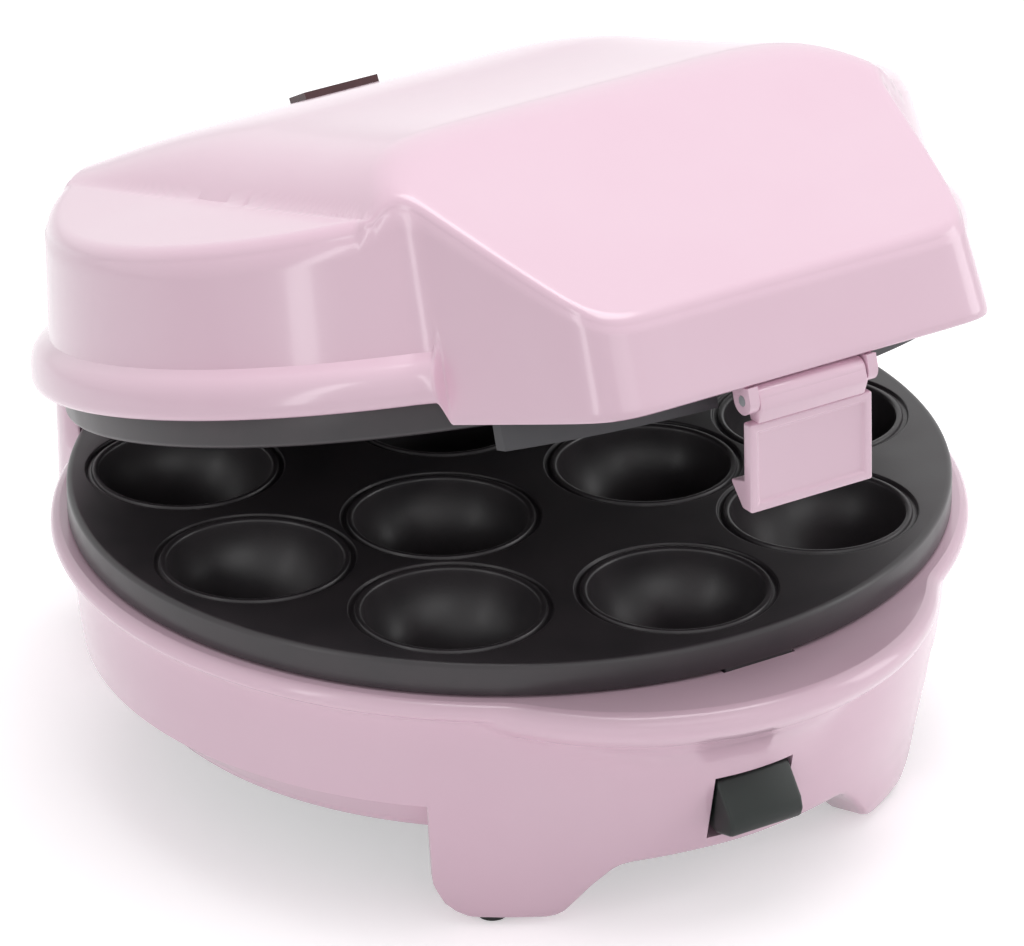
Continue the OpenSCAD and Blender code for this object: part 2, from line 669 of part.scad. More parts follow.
module lid_frame() color(pink) on_lid() difference() {
    union() {
        ring(frame_in_r, frame_r, pan_seat, pan_seat + frame_t);
        // Shelf inside the nose
        difference() {
            block([-shelf_half, -shelf_front, pan_seat],
                [shelf_half, 40 - shelf_front, pan_seat + frame_t]);
            translate([0, 0, pan_seat - 1]) cylinder(r = frame_in_r, h = 10);
        }
        hinge_block();
        latch_lugs();
        // Brackets for the upper lever's pin
        both_sides() block([upper_cheek_x, upper_y - 3.2, upper_z - 3],
            [upper_cheek_x + cheek_t, upper_y + 3.2, pan_seat + eps]);
    }
    both_sides() {
        pin_x(hinge_pin_r + run_fit, hinge_block_half - 6, hinge_block_half + 1, [hinge_y, hinge_z]);
        turned_over() rear_clip_block(0);
    }
    around(screw_angles, lid_screw_at) cylinder(r = hole_r, h = block_top);
    // Openings for the upper lever and for the plate's tongue
    block([-upper_cheek_x, -tongue_y - 13.5, pan_seat - 1], [upper_cheek_x, -tongue_y, block_top]);
    block([-tongue_half - 1, -tongue_y - 4, pan_seat - 1], [tongue_half + 1, 3 - tongue_y, block_top]);
    pin_x(lever_pin_r + run_fit, -2 * upper_half, 2 * upper_half, [upper_y, upper_z]);
    pin_x(latch_pin_r + run_fit, -2 * latch_half, 2 * latch_half, [latch_y, latch_z]);
}
module lid_screws() color(steel) on_lid()
    translate([0, 0, pan_seat]) turned_over() around(screw_angles, lid_screw_at) screw(lid_screw_l);
// Liner under the nose, on both sides of the upper lever
module nose_guard() color("#5A5A5E") on_lid() intersection() {
    ring(guard_r, guard_r + 3, -5, pan_seat);
    both_sides() block([upper_cheek_x + cheek_t + 0.4, -guard_r - 10, -10],
        [guard_half, -plate_r * 0.8, pan_seat]);
}

// Soft minimum of two heights, blended over a width k
function soft_min(a, b, k) = let (h = max(k - abs(a - b), 0) / k) min(a, b) - h * h * k / 4;
function drum_r(z) = lid_r - draft * (z - bead_top);
// Distance from the centre to the nose's side or front, a degrees from the front, at its lower edge
function nose_r(a) = let (front_line = nose_reach / cos(a))
    let (side_line = (nose_root_half + side_run * nose_root_y) / (abs(sin(a)) + side_run * cos(a)))
    pow(pow(front_line, -corner_power) + pow(side_line, -corner_power), -1 / corner_power);
function in_nose(a) = a < root_a;
function lid_edge(a, z) =
    in_nose(a) ? max(drum_r(z), nose_r(a) - draft * (z - nose_z)) : drum_r(z);
function crown(y) = crown_z + (y > crown_y ? -fall_back : rise_front) * pow(y - crown_y, 2);
function ramp(y) = nose_top + ramp_slope * (y + nose_reach - 3);
function lid_height(x, y) = let (u = min(abs(x) / hill_half, 1))
    let (bump = max(crown(y) - shoulder_z, 0) * (1 - pow(u, hill_power)))
    let (flank = shoulder_z - shoulder_slope * max(abs(x) - hill_half, 0))
    soft_min(ramp(y), flank + bump, blend_w);
function height_at(a, r) = lid_height(r * sin(a), -r * cos(a));
// Ring k of the lid's skin in direction a; t is the depth under the skin
side_rings = 5;
edge_rings = 3;
top_rings = 6;
bead_rise = [0, 0.2, 0.55, 0.92, 1];
bead_reach = [0.6, 0.97, 1, 0.5, 0];
function skin_point(a, k, t) = let (away = min(a, 360 - a), nose = in_nose(away))
    let (z_top = height_at(a, lid_edge(away, height_at(a, lid_edge(away, 30)))))
    let (bottom = nose ? nose_z : lip_z, wall_top = z_top - edge_r)
    let (level = nose ? nose_z + (wall_top - nose_z) * 0.5 * bead_rise[min(k, 4)]
        : lip_z + (bead_top - lip_z) * bead_rise[min(k, 4)])
    let (z = k < side_rings ? level : wall_top)
    let (bead = nose || t > 0 || k >= side_rings ? 0 : bead_out * bead_reach[k])
    let (rim = lid_edge(away, z) - t + bead)
    let (turn = 90 * max(k - side_rings, 0) / edge_rings, top_k = k - side_rings - edge_rings)
    let (edge = lid_edge(away, z_top) - t - edge_r * (1 - cos(min(turn, 90))))
    let (r = k < side_rings ? rim : edge * (top_k > 0 ? 1 - top_k / top_rings : 1))
    let (fillet = min(wall_top + edge_r * sin(turn), height_at(a, r)) - t * sin(turn))
    let (up = k < side_rings ? z : top_k <= 0 ? fillet : height_at(a, r) - t)
    [r * sin(a), -r * cos(a), up];
steps = 72;
last_ring = side_rings + edge_rings + top_rings;
function skin_rings(rings, t) =
    [for (k = rings) for (i = [0:steps - 1]) skin_point(i * 360 / steps, k, t)];
function strip(row0, row1, flip) = [for (i = [0:steps - 1]) let (j = (i + 1) % steps)
    each flip ? [[row0 + i, row1 + i, row0 + j], [row0 + j, row1 + i, row1 + j]]
        : [[row0 + i, row0 + j, row1 + i], [row0 + j, row1 + j, row1 + i]]];
function cap(row, top, flip) = [for (i = [0:steps - 1]) let (j = (i + 1) % steps)
    flip ? [row + j, row + i, top] : [row + i, row + j, top]];
module lid_skin() {
    outer = [for (k = [0:last_ring - 1]) k];
    inner = [0, 4, 5, 8, 10, 12];
    points = concat(skin_rings(outer, 0), [[0, 0, lid_height(0, 0)]],
        skin_rings(inner, wall), [[0, 0, lid_height(0, 0) - wall]]);
    start = len(outer) * steps + 1;
    polyhedron(points, concat(
        [for (k = [0:len(outer) - 2]) each strip(k * steps, (k + 1) * steps, true)],
        cap((len(outer) - 1) * steps, start - 1, true),
        [for (k = [0:len(inner) - 2]) each strip(start + k * steps, start + (k + 1) * steps, false)],
        cap(start + (len(inner) - 1) * steps, len(points) - 1, false),
        strip(0, start, false)));
}
// Posts under the lid's top for the pan's screws, and bosses on its wall for the frame's screws
module lid_posts() for (a = post_angles) {
    x = post_at * cos(a);
    y = post_at * sin(a);
    translate([x, y, pan_depth]) difference() {
        cylinder(r = lid_boss_r, h = lid_height(x, y) - pan_depth - wall * 0.7, $fn = 32);
        translate([0, 0, -eps]) cylinder(r = screw_r + run_fit, h = 8, $fn = 32);
    }
}
module lid_bosses() translate([0, 0, pan_seat + frame_t]) around(screw_angles, lid_screw_at)
    difference() {
        cylinder(r = lid_boss_r, h = lid_screw_l, $fn = 32);
        translate([0, 0, -eps]) cylinder(r = screw_r + run_fit, h = lid_screw_l - 2, $fn = 32);
    }
module lid_shell() color(pink) on_lid() {
    difference() {
        lid_skin();
        // Opening for the hinge block
        block([-hinge_block_half - 0.4, plate_r - 22, 0],
            [hinge_block_half + 0.4, hinge_y + block_r, block_top + 0.4]);
        at_lamp() block([-lamp_w / 2 + 1.5, -lamp_d / 2 + 1, -15], [lamp_w / 2 - 1.5, lamp_d / 2 - 1, 15]);
    }
    lid_posts();
    lid_bosses();
}

// Lamp, square to the lid's top where it stands

lamp_tilt = atan(2 * fall_back * (lamp_y - crown_y));
bezel_wall = 2.8;
module at_lamp() translate([0, lamp_y, lid_height(0, lamp_y)]) rotate([-lamp_tilt, 0, 0]) children();
// A block over the lid's top, in from the bezel's outline by d
module lamp_block(d, z0, z1)
    block([-lamp_w / 2 + d, -lamp_d / 2 + d * 0.8, z0], [lamp_w / 2 - d, lamp_d / 2 - d * 0.8, z1]);
module lamp_bezel() color("#3A2A2C") on_lid() at_lamp() difference() {
    union() {
        lamp_block(0, 0.02, lamp_proud);
        lamp_block(1.8, -7, 0.5);
    }
    lamp_block(bezel_wall, -8, 10);
}
module lamp_lens() color("#7A1F24") on_lid() at_lamp() lamp_block(bezel_wall, -1.5, lamp_proud - 0.3);
module indicator_lamp() color("#E8D8C8") on_lid() at_lamp()
    translate([-6, 0, -3.8]) rotate([0, 90, 0]) cylinder(r = 1.6, h = 12);

// Latch

module latch_pin() color(steel) on_lid() pin_x(latch_pin_r, -lug_x1, lug_x1, [latch_y, latch_z]);
// The latch hangs from its pin, slants in, and hooks under the chin's lower edge
module latch() color(pink) on_lid() {
    inner_top = [latch_y + 2.3, latch_z - 5];
    along = [sin(latch_slant), -cos(latch_slant)];
    across = [cos(latch_slant), sin(latch_slant)];
    reach = chin_depth + 0.5 + inner_top[1];
    hook_top = inner_top + along * reach / cos(latch_slant);
    low = inner_top + along * (reach + hook_h + 0.6) / cos(latch_slant);
    knuckle_half = lug_x0 - 0.3;
    difference() {
        union() {
            pin_x(knuckle_r, -knuckle_half, knuckle_half, [latch_y, latch_z]);
            side(-knuckle_half, knuckle_half) polygon([[latch_y - knuckle_r, latch_z],
                [latch_y - knuckle_r, latch_z - knuckle_r], inner_top - across * latch_t, inner_top,
                [latch_y + knuckle_r, latch_z]]);
            side(-latch_half, latch_half) polygon([inner_top - across * latch_t, inner_top, hook_top,
                hook_top + [hook_d, 0], low + across * 0.6, low - across * latch_t]);
        }
        pin_x(latch_pin_r + run_fit, -2 * latch_half, 2 * latch_half, [latch_y, latch_z]);
    }
}

module hinge_pins() color(steel) at_plates() both_sides() {
    pin_x(hinge_pin_r, hinge_block_half - 5, ear_x1 + 1, [hinge_y, hinge_z]);
    pin_x(hinge_pin_r + 1.6, ear_x1, ear_x1 + 1.6, [hinge_y, hinge_z]);
}

base_shell();
bottom_cover();
bottom_screws();
rubber_feet();
lower_plate();
lower_pan();
lower_pan_screws();
lower_element();
lower_element_clamps();
lower_thermostat();
thermal_fuse();
terminal_block();
cord_gland();
lower_rear_clips();
hinge_pins();
lower_lever_pin();
lower_release_lever();
lower_lever_spring();
lid_shell();
lid_frame();
lid_screws();
nose_guard();
upper_plate();
upper_pan();
upper_pan_screws();
upper_element();
upper_element_clamps();
upper_thermostat();
upper_rear_clips();
lamp_bezel();
lamp_lens();
indicator_lamp();
latch_pin();
upper_lever_pin();
upper_release_lever();
upper_lever_spring();
latch();
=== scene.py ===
"""Cake pop maker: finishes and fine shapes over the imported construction.

The maker is a round drum on four feet with a hinged lid. Each sub-assembly is a class that
builds its meshes in the shared frame and dresses them. Sizes are in millimetres and turn into
metres when a mesh is made. Heights inside the classes count from the plane where the two
cooking plates meet, and lid pieces are drawn with the lid shut. Directions are in degrees
from the front, and go up towards the right.
"""

import enum
import json
import logging
import math
from dataclasses import dataclass
from typing import Sequence

import bmesh
import bpy
import numpy as np
from mathutils import Matrix, Vector
from mathutils.geometry import delaunay_2d_cdt


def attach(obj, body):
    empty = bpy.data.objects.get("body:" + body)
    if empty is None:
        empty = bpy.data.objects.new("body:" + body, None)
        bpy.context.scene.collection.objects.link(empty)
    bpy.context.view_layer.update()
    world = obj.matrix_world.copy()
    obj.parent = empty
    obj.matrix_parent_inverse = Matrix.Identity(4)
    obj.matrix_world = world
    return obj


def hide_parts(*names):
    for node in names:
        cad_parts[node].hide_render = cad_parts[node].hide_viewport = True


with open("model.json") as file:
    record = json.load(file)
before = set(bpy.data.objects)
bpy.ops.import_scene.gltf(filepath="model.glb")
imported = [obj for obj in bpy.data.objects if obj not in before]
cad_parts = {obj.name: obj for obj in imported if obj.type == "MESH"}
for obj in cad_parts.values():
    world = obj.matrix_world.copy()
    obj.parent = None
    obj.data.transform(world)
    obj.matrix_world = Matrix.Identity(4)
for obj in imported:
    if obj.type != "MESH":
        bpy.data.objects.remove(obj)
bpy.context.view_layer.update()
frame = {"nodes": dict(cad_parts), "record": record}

LOG = logging.getLogger("cake_pop_maker")
MM = 0.001
# Edges that turn by more than this many degrees are shaded sharp
SHARP = 38.0
# Edges of a prism that turn by more than this many degrees are bevelled
CREASE = 24.0
Array = np.ndarray
# Points of an outline, in the plane where it is drawn
Line = Sequence[tuple[float, float]]
# A mesh before it is an object: vertices in millimetres, and each face's vertex numbers
Part = tuple[Array, list]


class Body(enum.Enum):
    """The moving bodies that a piece can ride on."""

    BASE = "base"
    LID = "lid"
    LATCH = "latch"
    LOWER_LEVER = "lower_lever"
    UPPER_LEVER = "upper_lever"


class Slot(enum.Enum):
    """The record's material slots."""

    PINK = "pink_plastic"
    NON_STICK = "non_stick"
    STEEL = "steel"
    SHEET = "bright_sheet"
    LEVER = "dark_lever"
    GUARD = "guard_grey"
    RUBBER = "rubber_pad"
    ELEMENT = "element_steel"
    CERAMIC = "white_ceramic"
    COVER = "cover_grey"
    LENS = "red_lens"
    GLASS = "lamp_glass"
    BEZEL = "bezel_dark"


def linear(hex_colour: str) -> tuple[float, float, float, float]:
    """Turns an sRGB hex colour into Blender's linear colour.

    Args:
        hex_colour: Six hex digits, such as "F2D3E0".

    Returns:
        Red, green, blue and an alpha of one.
    """
    parts = [int(hex_colour[i : i + 2], 16) / 255 for i in (0, 2, 4)]
    low = [c / 12.92 if c <= 0.04045 else ((c + 0.055) / 1.055) ** 2.4 for c in parts]
    return (low[0], low[1], low[2], 1.0)


def add_node(tree: bpy.types.NodeTree, kind: str, links: dict | None = None, **settings) -> bpy.types.Node:
    """Adds one node to a tree, sets it up and links its inputs.

    Args:
        tree: The node tree that gets the node.
        kind: Blender's name for the node's type.
        links: Input name or number to an output socket, or to a plain value.
        settings: Attributes of the node itself.

    Returns:
        The new node.
    """
    node = tree.nodes.new(kind)
    for name, value in settings.items():
        setattr(node, name, value)
    for name, value in (links or {}).items():
        if isinstance(value, bpy.types.NodeSocket):
            tree.links.new(value, node.inputs[name])
        else:
            node.inputs[name].default_value = value
    return node


@dataclass(frozen=True)
class Finish:
    """A surface finish: one Principled shader with a colour pattern, roughness and bump.

    Attributes:
        name: The finish's name in a maker's words.
        colours: The two sRGB colours that the surface drifts between.
        drift_mm: Size of the drift's patches.
        rough: Roughness of the smoothest and of the dullest patches.
        grain_mm: Size of the surface texture's bumps.
        relief_mm: Height of those bumps.
        metallic: One for bare metal.
        ior: Index of refraction.
        coat: Weight of a clear glossy coat.
        coat_rough: Roughness of that coat.
        transmission: Share of light that goes through.
    """

    name: str
    colours: tuple[str, str]
    drift_mm: float
    rough: tuple[float, float]
    grain_mm: float
    relief_mm: float
    metallic: float = 0.0
    ior: float = 1.5
    coat: float = 0.0
    coat_rough: float = 0.05
    transmission: float = 0.0

    def build(self) -> bpy.types.Material:
        """Makes the material.

        Returns:
            A material whose patterns read Object coordinates in metres.
        """
        material = bpy.data.materials.new(self.name)
        material.use_nodes = True
        tree = material.node_tree
        tree.nodes.clear()
        where = add_node(tree, "ShaderNodeTexCoord").outputs["Object"]
        drift = add_node(tree, "ShaderNodeTexNoise", {
            "Vector": where, "Scale": 1 / (self.drift_mm * MM), "Detail": 3.0, "Roughness": 0.55})
        # Noise stays near its middle, so this part of its range is spread over the whole drift
        spread = {"Value": drift.outputs["Fac"], "From Min": 0.3, "From Max": 0.7}
        blend = add_node(tree, "ShaderNodeMapRange", spread)
        colour = add_node(tree, "ShaderNodeMix", {
            0: blend.outputs["Result"], 6: linear(self.colours[0]), 7: linear(self.colours[1])},
            data_type="RGBA")
        fine = add_node(tree, "ShaderNodeTexNoise", {
            "Vector": where, "Scale": 1 / (self.grain_mm * MM), "Detail": 2.0, "Roughness": 0.5})
        rough = add_node(tree, "ShaderNodeMapRange", spread | {
            "To Min": self.rough[0], "To Max": self.rough[1]})
        bump = add_node(tree, "ShaderNodeBump", {
            "Height": fine.outputs["Fac"], "Strength": 1.0, "Distance": self.relief_mm * MM})
        shader = add_node(tree, "ShaderNodeBsdfPrincipled", {
            "Base Color": colour.outputs[2], "Roughness": rough.outputs["Result"],
            "Normal": bump.outputs["Normal"], "Metallic": self.metallic, "IOR": self.ior,
            "Coat Weight": self.coat, "Coat Roughness": self.coat_rough,
            "Transmission Weight": self.transmission})
        add_node(tree, "ShaderNodeOutputMaterial", {"Surface": shader.outputs["BSDF"]})
        return material


class Finishes:
    """Every finish on the maker, made once and handed out by slot."""

    def __init__(self) -> None:
        """Builds all the materials."""
        finishes = {
            # ABS from a polished mould: an even pale pink with crisp soft-box reflections
            Slot.PINK: Finish("moulded_pink_abs", ("F1D0E0", "EFCCDD"), 45.0, (0.17, 0.22), 2.2, 0.003,
                              coat=0.4, coat_rough=0.07),
            # Non-stick coat sprayed on cast aluminium: near black, with a fine satin grain
            Slot.NON_STICK: Finish("non_stick_coat", ("393639", "413C3F"), 14.0, (0.3, 0.4), 0.45, 0.015),
            # Zinc-plated steel: cool grey, a little cloudy
            Slot.STEEL: Finish("zinc_plated_steel", ("B9BCC0", "A6A9AD"), 4.0, (0.28, 0.42), 0.5, 0.004,
                               metallic=1.0),
            # Pressed aluminium sheet: bright, with dull patches left by the press
            Slot.SHEET: Finish("pressed_aluminium", ("D6D8DA", "C6C9CC"), 12.0, (0.22, 0.36), 0.8, 0.006,
                               metallic=1.0),
            # Satin ABS, very dark green: reads as black with a green cast where it is lit
            Slot.LEVER: Finish("satin_dark_green_abs", ("0E1815", "121D19"), 8.0, (0.36, 0.45), 0.5, 0.01),
            # Heat-resisting nylon from a textured mould: matt dark grey with no clear reflection
            Slot.GUARD: Finish("matt_grey_nylon", ("4A4A4D", "525255"), 10.0, (0.5, 0.6), 0.6, 0.012),
            # Moulded rubber: dull black that a lamp only greys
            Slot.RUBBER: Finish("black_rubber", ("2A2A2B", "323234"), 3.0, (0.7, 0.82), 0.35, 0.02),
            # Heater tube: steel that has gone brown-grey with heat
            Slot.ELEMENT: Finish("heat_stained_steel", ("6B645D", "504942"), 9.0, (0.4, 0.55), 0.6, 0.01,
                                 metallic=0.9),
            # Pressed and fired steatite: warm white, smooth but hardly glossy
            Slot.CERAMIC: Finish("white_steatite", ("E8E2D4", "DED6C6"), 6.0, (0.35, 0.5), 0.5, 0.01),
            # ABS from a spark-eroded mould: light grey with an even matt grain
            Slot.COVER: Finish("matt_grey_abs", ("C4C3C6", "BDBCC0"), 20.0, (0.48, 0.58), 0.7, 0.015),
            # Clear red polycarbonate: glossy, dark red, and brighter where the lamp is behind it
            Slot.LENS: Finish("clear_red_polycarbonate", ("6E1418", "7E181C"), 5.0, (0.08, 0.12), 3.0, 0.002,
                              ior=1.58, transmission=0.35),
            # Drawn glass tube: clear, with sharp small highlights
            Slot.GLASS: Finish("lamp_glass", ("F0DCCB", "EED8C6"), 5.0, (0.03, 0.06), 3.0, 0.001,
                               transmission=0.9),
            # ABS from a polished mould: dark brown with a soft gloss
            Slot.BEZEL: Finish("dark_brown_abs", ("44262A", "4C2C30"), 6.0, (0.2, 0.28), 1.0, 0.004),
        }
        self.by_slot = {slot: finish.build() for slot, finish in finishes.items()}

    def of(self, slot: Slot) -> bpy.types.Material:
        """Gives the material of a slot."""
        return self.by_slot[slot]


def ramp(x: Array | float, low: float, high: float) -> Array | float:
    """A smooth step from 0 at low to 1 at high."""
    t = np.clip((x - low) / (high - low), 0.0, 1.0)
    return t * t * (3 - 2 * t)


def mix(first: Array | float, second: Array | float, share: Array | float) -> Array | float:
    """The first value where the share is zero, and the second where it is one."""
    return first * (1 - share) + second * share


def soft_min(a: Array, b: Array, width: float) -> Array:
    """The lower of two values, blended over a width."""
    h = np.maximum(width - np.abs(a - b), 0.0) / width
    return np.minimum(a, b) - h * h * width / 4


def soft_max(a: Array, b: Array, width: float) -> Array:
    """The higher of two values, blended over a width."""
    return -soft_min(-a, -b, width)


def least(power: float, *reaches: Array) -> Array:
    """The least of several reaches; a high power keeps the corners between them tight."""
    return sum(reach**-power for reach in reaches) ** (-1 / power)


def fine_angles(zones: Sequence[tuple[float, float, float]]) -> Array:
    """Directions round the drum, closer together in some zones.

    Args:
        zones: (from, to, step) on one side; each is mirrored.

    Returns:
        Sorted angles from -180 up to, and not including, 180.
    """
    found: list[float] = [0.0, 180.0]
    for low, high, step in zones:
        found += list(np.arange(low, high, step))
    half = np.unique(np.round(np.array(found), 4))
    return np.concatenate([-half[:0:-1], half[:-1]])


def mesh_object(name: str, part: Part) -> bpy.types.Object:
    """Makes an object in the scene.

    Args:
        name: Name of the object and its mesh.
        part: Its shape.

    Returns:
        The object, with its place in its mesh.
    """
    mesh = bpy.data.meshes.new(name)
    mesh.from_pydata([tuple(v) for v in np.asarray(part[0]) * MM], [], part[1])
    mesh.update()
    thing = bpy.data.objects.new(name, mesh)
    bpy.context.scene.collection.objects.link(thing)
    return thing


def taken_apart(*things: bpy.types.Object) -> Part:
    """Gives the shape of the first object with its modifiers applied, and removes all of them.

    Args:
        things: The object that is wanted, then those that its modifiers read.

    Returns:
        The shape as a part.
    """
    graph = bpy.context.evaluated_depsgraph_get()
    mesh = bpy.data.meshes.new_from_object(things[0].evaluated_get(graph))
    for thing in things:
        bpy.data.objects.remove(thing)
    verts = np.empty(len(mesh.vertices) * 3)
    mesh.vertices.foreach_get("co", verts)
    return verts.reshape(-1, 3) / MM, [list(f.vertices) for f in mesh.polygons]


def cut_away(part: Part, tools: Sequence[Part]) -> Part:
    """Cuts closed shapes out of a part.

    Args:
        part: The closed shape that is cut.
        tools: The shapes to cut out, none of which touches another.

    Returns:
        The part with its openings.
    """
    thing = mesh_object("uncut", part)
    cutter = mesh_object("cutter", joined(tools))
    change = thing.modifiers.new("openings", "BOOLEAN")
    change.operation, change.solver, change.object = "DIFFERENCE", "EXACT", cutter
    return taken_apart(thing, cutter)


class Repeater:
    """A Geometry Nodes tree that sets one small piece on every given place."""

    def __init__(self) -> None:
        """Builds the tree with named inputs."""
        self.tree = bpy.data.node_groups.new("set_on_places", "GeometryNodeTree")
        face = self.tree.interface
        face.new_socket("Geometry", in_out="OUTPUT", socket_type="NodeSocketGeometry")
        for label, kind in (("Places", "Geometry"), ("Piece", "Object"), ("Size", "Float"),
                            ("Finish", "Material")):
            face.new_socket(label, in_out="INPUT", socket_type="NodeSocket" + kind)
        given = add_node(self.tree, "NodeGroupInput").outputs
        unit = add_node(self.tree, "GeometryNodeObjectInfo", {"Object": given["Piece"]})
        spread = add_node(self.tree, "GeometryNodeInstanceOnPoints", {
            "Points": given["Places"], "Instance": unit.outputs["Geometry"], "Scale": given["Size"]})
        real = add_node(self.tree, "GeometryNodeRealizeInstances", {"Geometry": spread.outputs[0]})
        done = add_node(self.tree, "GeometryNodeSetMaterial", {
            "Geometry": real.outputs[0], "Material": given["Finish"]})
        add_node(self.tree, "NodeGroupOutput", {"Geometry": done.outputs[0]})

    def spread(self, part: Part, places: Array, finish: bpy.types.Material, size: float = 1.0) -> Part:
        """Repeats a part.

        Args:
            part: The small piece, about its own centre.
            places: Where it goes, in millimetres.
            finish: Its material.
            size: Scale of the piece.

        Returns:
            All the copies as one part.
        """
        unit = mesh_object("unit", part)
        host = mesh_object("places", (places, []))
        change = host.modifiers.new("copies", "NODES")
        change.node_group = self.tree
        keys = {item.name: item.identifier for item in self.tree.interface.items_tree
                if item.in_out == "INPUT"}
        change[keys["Piece"]], change[keys["Size"]], change[keys["Finish"]] = unit, size, finish
        return taken_apart(host, unit)


def piece(name: str, part: Part, finishes: Finishes, body: Body, slot: Slot, *replaces: str) -> None:
    """Makes a finished object from a part and fits it to the frame.

    Args:
        name: The piece's name.
        part: Its shape, where it stands at rest over the worktop.
        finishes: All the finishes.
        body: The body that it rides on.
        slot: The record's slot for its finish.
        replaces: Construction nodes that this piece stands for.
    """
    thing = mesh_object(name, part)
    mesh = thing.data
    mesh.polygons.foreach_set("use_smooth", [True] * len(mesh.polygons))
    mesh.set_sharp_from_angle(angle=math.radians(SHARP))
    mesh.materials.append(finishes.of(slot))
    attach(thing, body.value)
    if replaces:
        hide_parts(*replaces)
    LOG.info("%s: %d faces", name, len(mesh.polygons))


def grid_faces(rows: int, cols: int, close_rows: bool) -> list:
    """Quads of a grid whose columns run round and close.

    Args:
        rows: Rings in the grid.
        cols: Points in each ring.
        close_rows: Whether the last ring joins the first.

    Returns:
        Faces that point outwards where rings rise and columns run counter-clockwise.
    """
    r = np.arange(rows if close_rows else rows - 1)[:, None]
    c = np.arange(cols)[None, :]
    corners = ((r, c), (r, c + 1), (r + 1, c + 1), (r + 1, c))
    return np.stack([((i % rows) * cols + j % cols).ravel() for i, j in corners], 1).tolist()


def polar(angles: Array, radius: Array, height: Array) -> Array:
    """Points from directions, radii and heights."""
    a = np.radians(angles)
    return np.stack([radius * np.sin(a), -radius * np.cos(a), height + 0 * radius], -1)


def at_mate(part: Part) -> Part:
    """Lifts a part from the plates' meeting plane to its height over the worktop."""
    return part[0] + np.array([0.0, 0.0, Maker.mate_z]), part[1]


def on_lid(part: Part) -> Part:
    """Turns a part of the shut lid to where the lid stands at rest.

    Args:
        part: A part that is drawn with the lid shut.

    Returns:
        The part over the worktop.
    """
    x, y, z = (part[0] - np.array([0.0, Maker.hinge_y, Maker.hinge_z])).T
    c, s = math.cos(math.radians(Maker.lid_open)), math.sin(math.radians(Maker.lid_open))
    return np.stack([x, y * c + z * s + Maker.hinge_y,
                     -y * s + z * c + Maker.hinge_z + Maker.mate_z], 1), part[1]


def revolved(line: Line, count: int) -> Part:
    """Turns a line about the Z axis.

    Args:
        line: (radius, height) points; one on the axis becomes a pole.
        count: Points in each ring.

    Returns:
        The surface that the line sweeps.
    """
    verts, faces, rings = [], [], []
    turn = 2 * np.pi * np.arange(count) / count
    for r, z in line:
        start = sum(len(v) for v in verts)
        if r < 1e-6:
            verts.append(np.array([[0.0, 0.0, z]]))
            rings.append([start] * count)
        else:
            verts.append(np.stack([r * np.sin(turn), -r * np.cos(turn), np.full(count, z)], 1))
            rings.append(list(range(start, start + count)))
    for low, high in zip(rings, rings[1:]):
        for i in range(count):
            j = (i + 1) % count
            faces.append(list(dict.fromkeys([low[i], low[j], high[j], high[i]])))
    return np.concatenate(verts), faces


def dome(rings: Array, top: float) -> Part:
    """Covers rings that run round the Z axis with a skin that ends in a pole.

    Args:
        rings: Rings of points, from the open end to the closed one.
        top: Height of the pole.

    Returns:
        The skin, which faces outwards where the rings rise.
    """
    rows, cols = rings.shape[:2]
    last = (rows - 1) * cols
    faces = grid_faces(rows, cols, False)
    faces += [[last + i, last + (i + 1) % cols, rows * cols] for i in range(cols)]
    return np.concatenate([rings.reshape(-1, 3), [[0.0, 0.0, top]]]), faces


def read_back(mesh: bmesh.types.BMesh) -> Part:
    """Gives an edit mesh as a part, and frees it.

    Args:
        mesh: The edit mesh.

    Returns:
        Its vertices and faces.
    """
    mesh.verts.index_update()
    verts = np.array([v.co[:] for v in mesh.verts])
    faces = [[v.index for v in f.verts] for f in mesh.faces]
    mesh.free()
    return verts, faces


def closed(part: Part) -> Part:
    """Merges a part's doubled points and turns its faces outwards.

    Args:
        part: A part whose seams aren't sewn yet.

    Returns:
        The sewn part.
    """
    mesh = bmesh.new()
    points = [mesh.verts.new(v) for v in part[0]]
    for face in part[1]:
        mesh.faces.new([points[i] for i in face])
    bmesh.ops.remove_doubles(mesh, verts=mesh.verts, dist=0.002)
    loose = [v for v in mesh.verts if not v.link_faces]
    bmesh.ops.delete(mesh, geom=loose, context="VERTS")
    bmesh.ops.recalc_face_normals(mesh, faces=mesh.faces)
    return read_back(mesh)


def prism(outline: Line, x0: float, x1: float, bevel: float,
          recess: tuple[float, float] | None = None) -> Part:
    """A bevelled prism along X.

    Args:
        outline: (y, z) corners, counter-clockwise seen from +X.
        x0: Lower end.
        x1: Upper end.
        bevel: Radius of every edge.
        recess: Border and depth of a recess in the face along the outline's first side.

    Returns:
        The prism.
    """
    mesh = bmesh.new()
    ends = [[mesh.verts.new((x, y, z)) for y, z in outline] for x in (x0, x1)]
    mesh.faces.new(list(reversed(ends[0])))
    mesh.faces.new(ends[1])
    count = len(outline)
    for i in range(count):
        j = (i + 1) % count
        mesh.faces.new([ends[0][i], ends[0][j], ends[1][j], ends[1][i]])
    bmesh.ops.recalc_face_normals(mesh, faces=mesh.faces)
    if recess:
        mesh.faces.ensure_lookup_table()
        # The two ends are faces 0 and 1, so the first side is face 2
        front = mesh.faces[2]
        border, depth = recess
        # The recess's walls lean in by a good half of its depth
        draft = 0.7 * depth
        bmesh.ops.inset_region(mesh, faces=[front], thickness=border)
        bmesh.ops.inset_region(mesh, faces=[front], thickness=draft, depth=-depth)
    sharp = [e for e in mesh.edges if e.calc_face_angle(0.0) > math.radians(CREASE)]
    if bevel > 0:
        bmesh.ops.bevel(mesh, geom=sharp, offset=bevel, segments=3, profile=0.5, affect="EDGES",
                        clamp_overlap=True)
    return read_back(mesh)


